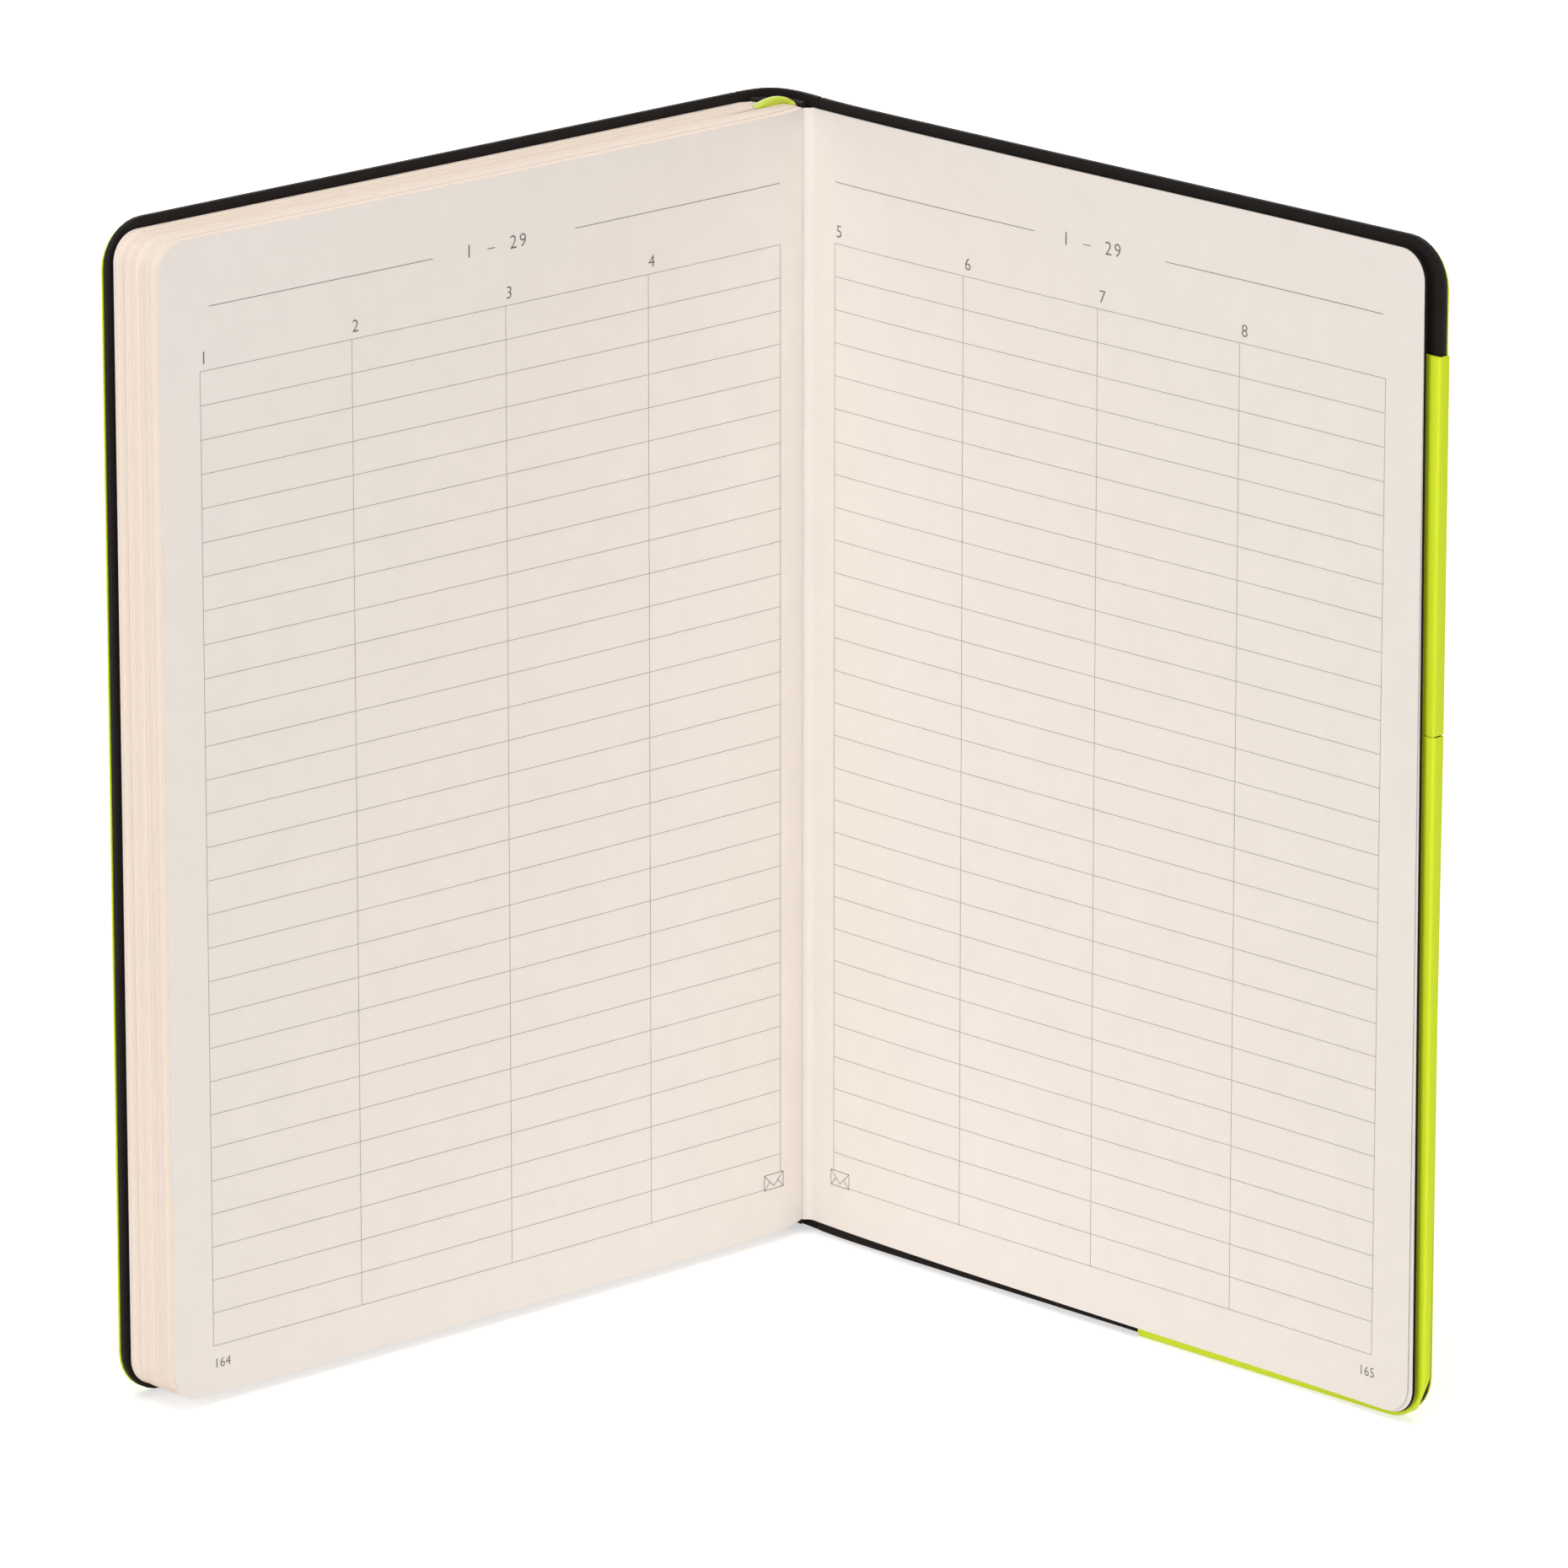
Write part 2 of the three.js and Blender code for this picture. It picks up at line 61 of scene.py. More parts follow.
# Leaves
PAGE_WIDTH = 145 * MM
PAGE_CORNER = 5.2 * MM
PAGE_FOOT = 2 * MM
PAGE_HEAD = 208 * MM
LEAF = 0.12 * MM
LEAF_STEP = 0.27 * MM
ENDPAPER = 0.15 * MM
ENDPAPER_GAP = 0.1 * MM
SIGNATURES = 12
LEAVES = 8
BLOCK_THICKNESS = 11.6 * MM
BLOCK_SHEAR = 0.5 * MM
BLOCK_SWELL = 0.4 * MM
SWELL_LENGTH = 30 * MM
BACK_START = -0.6 * MM
BACK_LEAN = 5.2 * MM
BACK_ROUND = 1 * MM
LEFT_DIP = 1.9 * MM
LEFT_DIP_START = 1.7 * MM
LEFT_DIP_LENGTH = 3 * MM
LEFT_BULGE = 0.6 * MM
RIGHT_DEPTH = 0.4 * MM
RIGHT_DIP = 1.7 * MM
RIGHT_DIP_START = 1 * MM
RIGHT_DIP_LENGTH = 22 * MM
# The black endpaper reaches furthest: partly its own edge, partly painted shade, its black standing in for
# the shadow in the gap between the leaves and the pocket
RIGHT_STARTS = (-1.39 * MM, -0.6 * MM, -0.2 * MM)
RIGHT_ENDS = (144.7 * MM, 144.5 * MM, 144.75 * MM)
RIGHT_FOOT = 1.5 * MM
RIGHT_FOOT_RISE = 0.9 * MM
LEFT_FOOT_RISE = 0.7 * MM
FOOT_RISE_LENGTH = 6 * MM
# Splay of each leaf's fore edge towards the foot; the endpaper's splay widens its black in the gap at the
# lower corner as painted shade
LEAF_SPLAYS = (0, 1.35 * MM, 1.4 * MM)
SPLAY_HEIGHT = 60 * MM
RIGHT_CURL = 1.25 * MM
RIGHT_CURL_LENGTH = 1.7 * MM
RIGHT_LIFT = 0.8 * MM
RIGHT_LIFT_START = 100 * MM

# Ranges of the random draws: how far sections and leaves stray, in leaf strays, and their tints towards the
# edge colour, whose extra lightness is a painted highlight
SEED = 12
SECTION_OUT = (-2.2, 0.5)
SECTION_UP = (-1.5, 1)
SECTION_TINT = (0.5, 0.95)
LEAF_TINT = (-0.2, 0.1)
LEAF_OUT = (-0.8, 0.6)
LEAF_UP = (-0.6, 0.6)

# Case
COVER_FOOT = 0.3 * MM
COVER_HEAD = 209.7 * MM
COVER_REACH = 146.6 * MM
COVER_CORNER = 8 * MM
LINING = 0.24 * MM
BOARD = 0.99 * MM
SKIN = 0.3 * MM
SKIN_PROUD = 0.12 * MM
FRONT_SHORT = 0.3 * MM
BOARD_DEPTH = 0.25 * MM
SKIN_DEPTH = 1.25 * MM
SKIN_INSET = 0.45 * MM
FRONT_LINING = 12.3 * MM
FRONT_OUTSIDE = 13.85 * MM
BACK_LINING = 2.35 * MM
BACK_OUTSIDE = 3.9 * MM
FRONT_JOINT = 5 * MM
BACK_JOINT = 0.3 * MM
JOINT_GAP = 0.15 * MM
JOINT_COVERED = 0.12 * MM
BACK_BEND = 0.9 * MM
BACK_BEND_LENGTH = 6 * MM
FRONT_PULL = 0.69 * BLOCK_THICKNESS
BACK_PULL = 0.95 * BLOCK_THICKNESS
STRIP_LENGTH = 20 * MM
STRIP_CUTS = 40

# Pocket of card
CARD = 0.25 * MM
PANEL_DEPTH = 1.7 * MM
FLAP_DEPTH = 1.4 * MM
FLAP_INSIDE = 7 * MM
FLAP_FOLD = 0.5 * MM
LAYER_GAP = 0.05 * MM
POCKET_TOP = 190 * MM
POCKET_SEAM = 123.5 * MM
TAIL_START = 80.6 * MM
TAIL_SLANT = 1.2 * MM
TAIL_SLANT_LENGTH = 2 * MM
MOUTH_WIDTH = 14 * MM
MOUTH_FOOT = 6 * MM
FLAP_SEAM = 0.12 * MM
FLAP_EDGE = 0.05 * MM
FOLD_STEPS = 4
CORNER_STEPS = 14
PANEL_EDGE = 0.06 * MM
PANEL_CUTS = 8
CORNER_NOTCH = 1.95 * MM
NOTCH_MIDDLE = math.radians(67)
NOTCH_REACH = math.radians(43)

# What is glued to the back of the block
THREAD = 0.2 * MM
THREAD_BEHIND = 0.2 * MM
THREAD_CLEAR = 4.5 * MM
GAUZE = 0.2 * MM
GAUZE_BEHIND = 0.4 * MM
GAUZE_CLEAR = 0.5 * MM
BACK_CUTS = 24
BAND = 0.45 * MM
BAND_HEIGHT = 9 * MM
BAND_PROUD = 0.8 * MM
HEAD_BAND_BEHIND = 0.5 * MM
TAIL_BAND_BEHIND = 0.1 * MM
ROLL_AHEAD = 0.1 * MM
RIBBON = 0.2 * MM
RIBBON_ROOM = 0.5 * MM
RIBBON_ROOM_REACH = 3.4 * MM
RIBBON_ROOM_FADE = 8 * MM
RIBBON_SHARE = 0.5
RIBBON_BEHIND = 0.3 * MM
RIBBON_GLUED_FROM = 186 * MM
RIBBON_INSIDE = 2.7 * MM
RIBBON_SHORT = 14 * MM
RIBBON_ARCH = 1.4 * MM
RIBBON_BOW = 0.9

# Cuts along the ribbon's three stretches, cuts across it, and the marks that measure each stretch
RIBBON_CUTS = (3, 28, 12)
RIBBON_ROWS = 12
RIBBON_MARKS = 32

# Print, laid just in front of the page
INK_FRONT = 0.03 * MM
INK_THICKNESS = 0.015 * MM
BOLD = 1.25
HEAD_RISE = 1.2 * MM
TITLE_DROP = 1.2 * MM
PAGE_NUMBER_FOOT = 6.6 * MM
LEFT_COLUMNS = (136.5 * MM, 103.6 * MM, 69.4 * MM, 36.8 * MM, 5.7 * MM)
RIGHT_COLUMNS = (5.7 * MM, 37.6 * MM, 69.6 * MM, 102.6 * MM, 136.2 * MM)
LEFT_RULES = ((134.4 * MM, 85.6 * MM), (53.5 * MM, 5.9 * MM))
RIGHT_RULES = ((5.9 * MM, 54.6 * MM), (85.4 * MM, 135.4 * MM))
LEFT_TITLE = 78.4 * MM
RIGHT_TITLE = 61.2 * MM
RIGHT_HEAD_ASIDE = 0.3 * MM
RIGHT_NUMBER_ASIDE = 3 * MM
ENVELOPE_WIDTH = 4.7 * MM
ENVELOPE_HEIGHT = 2.8 * MM
ENVELOPE_POINT = 0.5 * MM
ENVELOPE_SEAM = 1.36 * MM
ENVELOPE_SEAM_RISE = 1.48 * MM
ENVELOPE_DROP = 0.2 * MM
ENVELOPE_ASIDE = 0.7 * MM

# The upright line where the pages meet, a little in front of the leaves' hinge
GUTTER_AHEAD = 0.2 * MM
JOINTS = {joint["name"]: Vector(joint["pos_m"]) for joint in frame["joints"]}
GUTTER = JOINTS["last_leaves_turn"].copy()
GUTTER.y -= GUTTER_AHEAD
GUTTER.z = 0


class Half:
    """One half of the open notebook: its directions along the pages and out through them."""

    def __init__(self, along, out):
        self.along = Vector((*along, 0))
        self.out = Vector((*out, 0))

    def at(self, s, n, z):
        return GUTTER + self.along * s + self.out * n + Vector((0, 0, z))


LEFT = Half((-math.sin(LEFT_TURN), -math.cos(LEFT_TURN)), (-math.cos(LEFT_TURN), math.sin(LEFT_TURN)))
RIGHT = Half((math.sin(RIGHT_TURN), -math.cos(RIGHT_TURN)), (math.cos(RIGHT_TURN), math.sin(RIGHT_TURN)))


def left_page(s):
    bulge = LEFT_BULGE * math.sin(math.pi * min(1, max(0, s / PAGE_WIDTH)))
    return LEFT_DIP * math.exp(-(s + LEFT_DIP_START) / LEFT_DIP_LENGTH) - bulge


def right_page(s):
    """The face of the last leaf, which is lifted a little at its fore edge."""
    lift = min(1, max(0, (s - RIGHT_LIFT_START) / (PAGE_WIDTH - RIGHT_LIFT_START)))
    dip = RIGHT_DIP * math.exp(-max(0, s + RIGHT_DIP_START) / RIGHT_DIP_LENGTH)
    return RIGHT_DEPTH + dip - RIGHT_LIFT * lift * lift


def right_curl(s):
    """How far the last ruled leaf curls forward into the gutter, to meet the page on the left."""
    return RIGHT_CURL * max(0, 1 - (s - RIGHT_STARTS[0]) / RIGHT_CURL_LENGTH) ** 2


def block_back(s):
    return BLOCK_THICKNESS + BLOCK_SWELL * math.exp(-max(0, s) / SWELL_LENGTH)


def block_depth(s, share):
    return (1 - share) * left_page(s) + share * block_back(s)


def block_start(share):
    return BACK_START + BACK_LEAN * share * share - BACK_ROUND * math.sin(math.pi * share)


def block_end(share):
    return PAGE_WIDTH + BLOCK_SHEAR * share


def behind_back(share, distance, z):
    s = block_start(share)
    return LEFT.at(s - distance, block_depth(s, share), z)


def back_bend(s):
    return BACK_BEND * math.exp(-s / BACK_BEND_LENGTH)


# Flat modelling: x runs from the gutter, y through the piece away from the reader, z up

EDGE_ANGLE = math.radians(40)
SMOOTH_ANGLE = math.radians(35)
CORNER_SEGMENTS = 8

# Places of the close cuts by the gutter in millimetres, and the number of even steps beyond them
GUTTER_CUTS = (-1.2, -1, -0.8, -0.5, -0.2, 0.1, 0.6, 1.3, 2.1, 3, 4.2, 5.6, 7.4, 9.6, 12.5, 16, 21, 27)
EVEN_STEPS = 14


def deselect():
    if bpy.context.object and bpy.context.object.mode != "OBJECT":
        bpy.ops.object.mode_set(mode="OBJECT")
    bpy.ops.object.select_all(action="DESELECT")


def pick(*pieces):
    deselect()
    for piece in pieces:
        piece.select_set(True)
    bpy.context.view_layer.objects.active = pieces[0]


def select_points(piece, wanted):
    bpy.ops.mesh.select_mode(type="VERT")
    mesh = bmesh.from_edit_mesh(piece.data)
    for vertex in mesh.verts:
        vertex.select = wanted(vertex.co)
    mesh.select_flush(True)
    bmesh.update_edit_mesh(piece.data)


def cut(cuts, normal=(1, 0, 0)):
    for place in cuts:
        bpy.ops.mesh.select_all(action="SELECT")
        bpy.ops.mesh.bisect(plane_co=tuple(place * axis for axis in normal), plane_no=normal)


def thicken(piece, thickness):
    wall = piece.modifiers.new("Wall", "SOLIDIFY")
    wall.thickness = thickness
    wall.offset = -1
    bpy.ops.object.modifier_apply(modifier=wall.name)


def round_edges(piece, width, segments=3):
    pick(piece)
    edge = piece.modifiers.new("Edge", "BEVEL")
    edge.width = width
    edge.segments = segments
    edge.limit_method = "ANGLE"
    edge.angle_limit = EDGE_ANGLE
    edge.use_clamp_overlap = True
    bpy.ops.object.modifier_apply(modifier=edge.name)


def rectangle(name, x, z, along, across, turn=0):
    """An upright rectangle round a middle place, left in edit mode."""
    deselect()
    bpy.ops.mesh.primitive_plane_add(size=1, location=(x, 0, z), rotation=(math.pi / 2, turn, 0))
    piece = bpy.context.object
    piece.name = name
    piece.scale = (along, across, 1)
    bpy.ops.object.transform_apply(location=True, rotation=True, scale=True)
    bpy.ops.object.mode_set(mode="EDIT")
    return piece


def flat_sheet(name, start, end, foot, head, corner=0, corners=("foot", "head"), cuts=(), rows=()):
    """An upright sheet with no thickness, with its corners at the fore edge rounded."""
    piece = rectangle(name, (start + end) / 2, (foot + head) / 2, end - start, head - foot)
    if corner:
        heights = [{"foot": foot, "head": head}[which] for which in corners]

        def at_corner(place):
            return abs(place.x - end) < TOUCH and min(abs(place.z - z) for z in heights) < TOUCH

        select_points(piece, at_corner)
        bpy.ops.mesh.bevel(offset=corner, segments=CORNER_SEGMENTS, affect="VERTICES")
    cut(cuts)
    cut(rows, (0, 0, 1))
    bpy.ops.object.mode_set(mode="OBJECT")
    return piece


def flat_plate(name, start, end, foot, head, thickness, edge=0, **shape):
    """A closed plate of the same shape, its edges rounded where an edge width is given."""
    piece = flat_sheet(name, start, end, foot, head, **shape)
    thicken(piece, thickness)
    if edge:
        round_edges(piece, edge)
    return piece


def settle(piece, move):
    """Moves each point of a flat piece to its place, and turns the faces outwards."""
    for vertex in piece.data.vertices:
        vertex.co = move(*vertex.co)
    pick(piece)
    bpy.ops.object.mode_set(mode="EDIT")
    bpy.ops.mesh.select_all(action="SELECT")
    bpy.ops.mesh.normals_make_consistent(inside=False)
    bpy.ops.object.mode_set(mode="OBJECT")
    return piece


def lay(piece, half, depth):
    return settle(piece, lambda s, n, z: half.at(s, depth(s) + n, z))


def join(name, pieces):
    pick(*pieces)
    bpy.ops.object.join()
    whole = bpy.context.object
    whole.name = name
    return whole


def copy_of(piece, name):
    twin = piece.copy()
    twin.data = piece.data.copy()
    twin.name = name
    bpy.context.scene.collection.objects.link(twin)
    return twin


def hand_over(piece, body, material, *nodes):
    """Gives a finished piece its shading, finish and body, and hides the imported parts that it stands for.
    """
    pick(piece)
    bpy.ops.object.shade_smooth_by_angle(angle=SMOOTH_ANGLE)
    piece.data.materials.clear()
    piece.data.materials.append(finish(material))
    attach(piece, body)
    if nodes:
        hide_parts(*nodes)


def along_cuts(end):
    """Places to cut a sheet: close together by the gutter, then in even steps."""
    near = [place * MM for place in GUTTER_CUTS]
    return near + even_cuts(near[-1], end, EVEN_STEPS)


def even_cuts(start, end, count):
    return [start + (end - start) * step / count for step in range(1, count)]


# Materials

PAPER_ROUGHNESS = 0.88
FIBRE_SCALE = 2600
FIBRE_DEPTH = 0.012 * MM


def linear(colour):
    return [*((c / 12.92 if c <= 0.04045 else ((c + 0.055) / 1.055) ** 2.4) for c in colour[:3]), 1]


def tones(colour, contrast):
    """A lighter and a darker tone of a colour."""
    return [linear([min(1, channel * (1 + part)) for channel in colour]) for part in (contrast, -contrast)]


class Nodes:
    """Adds and links the nodes of one tree."""

    def __init__(self, tree):
        self.tree = tree
        self.column = 0

    def add(self, kind, **settings):
        node = self.tree.nodes.new(kind)
        self.column += 1
        node.location = (self.column * 200 - 1600, 0)
        for key, value in settings.items():
            setattr(node, key, value)
        return node

    def feed(self, target, value):
        if isinstance(value, bpy.types.NodeSocket):
            self.tree.links.new(value, target)
        else:
            target.default_value = value

    def maths(self, operation, first, second=0.0):
        node = self.add("ShaderNodeMath", operation=operation)
        self.feed(node.inputs[0], first)
        self.feed(node.inputs[1], second)
        return node.outputs[0]

    def noise(self, vector, scale, detail=3.0, roughness=0.5):
        node = self.add("ShaderNodeTexNoise")
        self.feed(node.inputs["Vector"], vector)
        self.feed(node.inputs["Scale"], scale)
        self.feed(node.inputs["Detail"], detail)
        self.feed(node.inputs["Roughness"], roughness)
        return node.outputs["Fac"]

    def spread(self, value, low, high, to_low=0.0, to_high=1.0):
        node = self.add("ShaderNodeMapRange")
        for key, number in (("From Min", low), ("From Max", high), ("To Min", to_low), ("To Max", to_high)):
            node.inputs[key].default_value = number
        self.feed(node.inputs["Value"], value)
        return node.outputs["Result"]

    def blend(self, factor, first, second):
        node = self.add("ShaderNodeMix", data_type="RGBA")
        colours = [socket for socket in node.inputs if socket.type == "RGBA"]
        self.feed(node.inputs[0], factor)
        self.feed(colours[0], first)
        self.feed(colours[1], second)
        return next(socket for socket in node.outputs if socket.type == "RGBA")

    def bump(self, height, strength, distance):
        node = self.add("ShaderNodeBump")
        self.feed(node.inputs["Height"], height)
        self.feed(node.inputs["Strength"], strength)
        self.feed(node.inputs["Distance"], distance)
        return node.outputs["Normal"]

    def place(self, output="Object"):
        return self.add("ShaderNodeTexCoord").outputs[output]

    def pattern(self, name, build, place, scale):
        """The tone and height that a node group gives a place. The group is built on its first use."""
        node = self.add("ShaderNodeGroup", node_tree=bpy.data.node_groups.get(name) or build(name))
        self.feed(node.inputs["Vector"], place)
        self.feed(node.inputs["Scale"], scale)
        return node.outputs["Tone"], node.outputs["Height"]


def new_group(name):
    """A shader node group that takes a place and a scale, and gives a tone and a height."""
    tree = bpy.data.node_groups.new(name, "ShaderNodeTree")
    for title, kind in (("Vector", "NodeSocketVector"), ("Scale", "NodeSocketFloat")):
        tree.interface.new_socket(name=title, in_out="INPUT", socket_type=kind)
    for title in ("Tone", "Height"):
        tree.interface.new_socket(name=title, in_out="OUTPUT", socket_type="NodeSocketFloat")
    nodes = Nodes(tree)
    return tree, nodes, nodes.add("NodeGroupInput").outputs, nodes.add("NodeGroupOutput").inputs


def fibre_group(name):
    """Short pressed fibres and a soft cloud, as in uncoated paper."""
    tree, nodes, given, out = new_group(name)
    stretch = nodes.add("ShaderNodeMapping")
    stretch.inputs["Rotation"].default_value = (0.6, 0.3, 0.9)
    stretch.inputs["Scale"].default_value = (1, 0.35, 1)
    nodes.feed(stretch.inputs["Vector"], given["Vector"])
    fibres = nodes.noise(stretch.outputs[0], given["Scale"], detail=6, roughness=0.65)
    cloud_scale = nodes.maths("MULTIPLY", given["Scale"], 0.06)
    cloud = nodes.noise(given["Vector"], cloud_scale, detail=4, roughness=0.6)
    nodes.feed(out["Tone"], nodes.spread(cloud, low=0.3, high=0.7))
    nodes.feed(out["Height"], fibres)
    return tree


def grain_group(name):
    """Fine pebbled grain, whose tone marks the hollows."""
    tree, nodes, given, out = new_group(name)
    cells = nodes.add("ShaderNodeTexVoronoi", feature="SMOOTH_F1")
    nodes.feed(cells.inputs["Vector"], given["Vector"])
    nodes.feed(cells.inputs["Scale"], given["Scale"])
    fine = nodes.noise(given["Vector"], nodes.maths("MULTIPLY", given["Scale"], 2.3))
    coarse = nodes.maths("MULTIPLY", cells.outputs["Distance"], 0.7)
    height = nodes.maths("ADD", coarse, nodes.maths("MULTIPLY", fine, 0.3))
    nodes.feed(out["Height"], height)
    nodes.feed(out["Tone"], nodes.spread(height, low=0.35, high=0.6))
    return tree


def weave_group(name):
    """Crossing threads that pass over and under each other."""
    tree, nodes, given, out = new_group(name)
    apart = nodes.add("ShaderNodeSeparateXYZ")
    nodes.feed(apart.inputs[0], given["Vector"])
    waves = []
    for axis in ("X", "Y"):
        count = nodes.maths("MULTIPLY", apart.outputs[axis], given["Scale"])
        waves.append(nodes.maths("SINE", nodes.maths("MULTIPLY", count, math.pi)))
    product = nodes.maths("MULTIPLY", waves[0], waves[1])
    nodes.feed(out["Tone"], nodes.spread(product, low=-0.6, high=0.6))
    nodes.feed(out["Height"], nodes.maths("ABSOLUTE", product))
    return tree


def new_material(name, roughness, specular):
    material = bpy.data.materials.new(name)
    material.use_nodes = True
    shader = material.node_tree.nodes["Principled BSDF"].inputs
    shader["Roughness"].default_value = roughness
    shader["Specular IOR Level"].default_value = specular
    return material, Nodes(material.node_tree), shader


def paper(name, colour, tinted=False, contrast=0.006):
    material, nodes, shader = new_material(name, PAPER_ROUGHNESS, specular=0.25)
    cloud, height = nodes.pattern("Paper fibre", fibre_group, nodes.place(), FIBRE_SCALE)
    light, dark = tones(colour, contrast)
    tone = nodes.blend(cloud, dark, light)
    # Tinted leaves blend at random towards the edge colour: a random tone, with the edge colour's extra
    # lightness a painted highlight for the light that the cut edges catch
    if tinted:
        leaf = nodes.add("ShaderNodeAttribute", attribute_name="leaf_tint").outputs["Fac"]
        tone = nodes.blend(leaf, tone, linear(colour_of("paper_edge_and_highlight")))
    nodes.feed(shader["Base Color"], tone)
    nodes.feed(shader["Normal"], nodes.bump(height, strength=0.25, distance=FIBRE_DEPTH))
    return material


def pebbled(name, colour, roughness, grain, depth, contrast=0.06, specular=0.4):
    material, nodes, shader = new_material(name, roughness, specular)
    hollows, height = nodes.pattern("Fine grain", grain_group, nodes.place(), grain)
    light, dark = tones(colour, contrast)
    nodes.feed(shader["Base Color"], nodes.blend(hollows, light, dark))
    nodes.feed(shader["Roughness"], nodes.spread(hollows, 0, 1, roughness - 0.05, roughness + 0.1))
    nodes.feed(shader["Normal"], nodes.bump(height, strength=0.5, distance=depth * MM))
    return material


def woven(name, colour, roughness, threads, depth, place="UV", sheen=0.0, contrast=0.15):
    material, nodes, shader = new_material(name, roughness, specular=0.35)
    shader["Sheen Weight"].default_value = sheen
    over, height = nodes.pattern("Weave", weave_group, nodes.place(place), threads)
    light, dark = tones(colour, contrast)
    nodes.feed(shader["Base Color"], nodes.blend(over, dark, light))
    nodes.feed(shader["Normal"], nodes.bump(height, strength=0.6, distance=depth * MM))
    return material


def colour_of(name):
    return tuple(getattr(bpy.context.scene.notebook_colours, name))


# Slot, maker, colour and settings of each finish, with depths in millimetres
FINISHES = {
    "Page paper": ("page_paper", paper, "paper", dict(tinted=True)),
    "Black paper": ("black_paper", paper, "black_paper", dict(contrast=0.08)),
    "Ink": ("page_paper", paper, "ink", dict(contrast=0.06)),
    "Dark ink": ("page_paper", paper, "dark_ink", dict(contrast=0.06)),
    "Black board": ("black_board", pebbled, "black", dict(
        roughness=0.62, grain=4200, depth=0.02, specular=0.2)),
    "Yellow skin": ("neon_skin", pebbled, "yellow", dict(
        roughness=0.5, grain=3000, depth=0.02, contrast=0.015)),
    "Yellow card": ("neon_card", pebbled, "yellow", dict(
        roughness=0.55, grain=5200, depth=0.008, contrast=0.01)),
    "Cotton": ("cotton", woven, "cotton", dict(
        roughness=0.95, threads=900, depth=0.05, place="Object")),
    "Black weave": ("black_weave", woven, "black", dict(
        roughness=0.8, threads=1500, depth=0.06, place="Object")),
    "Ribbon satin": ("lime_satin", woven, "ribbon", dict(
        roughness=0.42, threads=3200, depth=0.012, sheen=0.3, contrast=0.07)),
}


def finish(name):
    """The named finish, made on its first use."""
    _, maker, colour, settings = FINISHES[name]
    return bpy.data.materials.get(name) or maker(name, colour_of(colour), **settings)


# Sizes and colours that a user would change


def length(name, description, default):
    return bpy.props.FloatProperty(
        name=name, description=description, default=default, min=0, subtype="DISTANCE", unit="LENGTH")


def tint(name, description, default):
    return bpy.props.FloatVectorProperty(
        name=name, description=description, default=default, size=3, min=0, max=1, subtype="COLOR_GAMMA")


class NotebookSizes(bpy.types.PropertyGroup):
    rows: bpy.props.IntProperty(name="Rows", description="Ruled rows on each open page", default=29, min=1)
    row_pitch: length("Row Pitch", "Height of one ruled row", 6 * MM)
    table_head: length("Table Head", "Height of the top ruled line above the floor", 184.7 * MM)
    line_width: length("Line Width", "Width of a printed line", 0.08 * MM)
    title_height: length("Title Line", "Height of the line at the page's head above the floor", 195.8 * MM)
    head_letters: length("Head Numbers", "Height of the numbers over the columns", 2.15 * MM)
    page_letters: length("Page Numbers", "Height of the page numbers", 1.7 * MM)
    title_letters: length("Title Numbers", "Height of the numbers in the title's place", 2.35 * MM)
    leaf_stray: length("Leaf Stray", "How far the edges of the leaves stray from one plane", 0.09 * MM)
    ribbon_width: length("Ribbon Width", "Width of the ribbon marker", 6 * MM)


class NotebookColours(bpy.types.PropertyGroup):
    paper: tint("Paper", "The leaves", (0.925, 0.893, 0.864))
    # The cut edges' own warmer tone, made lighter than the paper as a painted highlight for the light that
    # the edges catch
    paper_edge_and_highlight: tint("Paper Edge", "The cut edges of the leaves", (0.985, 0.92, 0.86))
    ink: tint("Ink", "The printed lines", (0.58, 0.55, 0.53))
    dark_ink: tint("Dark Ink", "The printed numbers", (0.4, 0.37, 0.35))
    black: tint("Black", "The boards and the woven bands", (0.095, 0.07, 0.062))
    black_paper: tint("Black Paper", "The linings and endpapers", (0.088, 0.068, 0.06))
    yellow: tint("Yellow", "The outside of the covers and the pocket", (0.84, 0.905, 0.11))
    ribbon: tint("Ribbon", "The ribbon marker", (0.8, 0.86, 0.25))
    cotton: tint("Cotton", "The sewing thread and the cloth on the back of the block", (0.81, 0.78, 0.72))


# The sewn block


def flat_leaf(name):
    return flat_plate(
        name, 0, PAGE_WIDTH, PAGE_FOOT, PAGE_HEAD, LEAF, corner=PAGE_CORNER, cuts=along_cuts(PAGE_WIDTH))


def ribbon_room(s):
    """Room that the leaves leave for the ribbon, and how it fades on both sides."""
    aside = (abs(s - RIBBON_INSIDE) - RIBBON_ROOM_REACH) / RIBBON_ROOM_FADE
    return RIBBON_ROOM * (0.5 + 0.5 * math.cos(math.pi * min(1, max(0, aside))))


# Where the two faces of a leaf lie in its share of the signature
LEAF_FACES = (0.01, 0.98)


def leaf_shares(number, s, signature):
    """How deep one leaf of a signature starts and ends, as shares of the block."""
    far = (SIGNATURES + 1 - signature) / SIGNATURES
    near = far - 1 / SIGNATURES
    if signature == SIGNATURES // 2:
        near += ribbon_room(s) / BLOCK_THICKNESS
    step = (far - near) / LEAVES
    return [near + step * (number + share) for share in LEAF_FACES]


def set_tint(piece, value):
    layer = piece.data.attributes.new("leaf_tint", "FLOAT", "POINT")
    layer.data.foreach_set("value", [value] * len(piece.data.vertices))


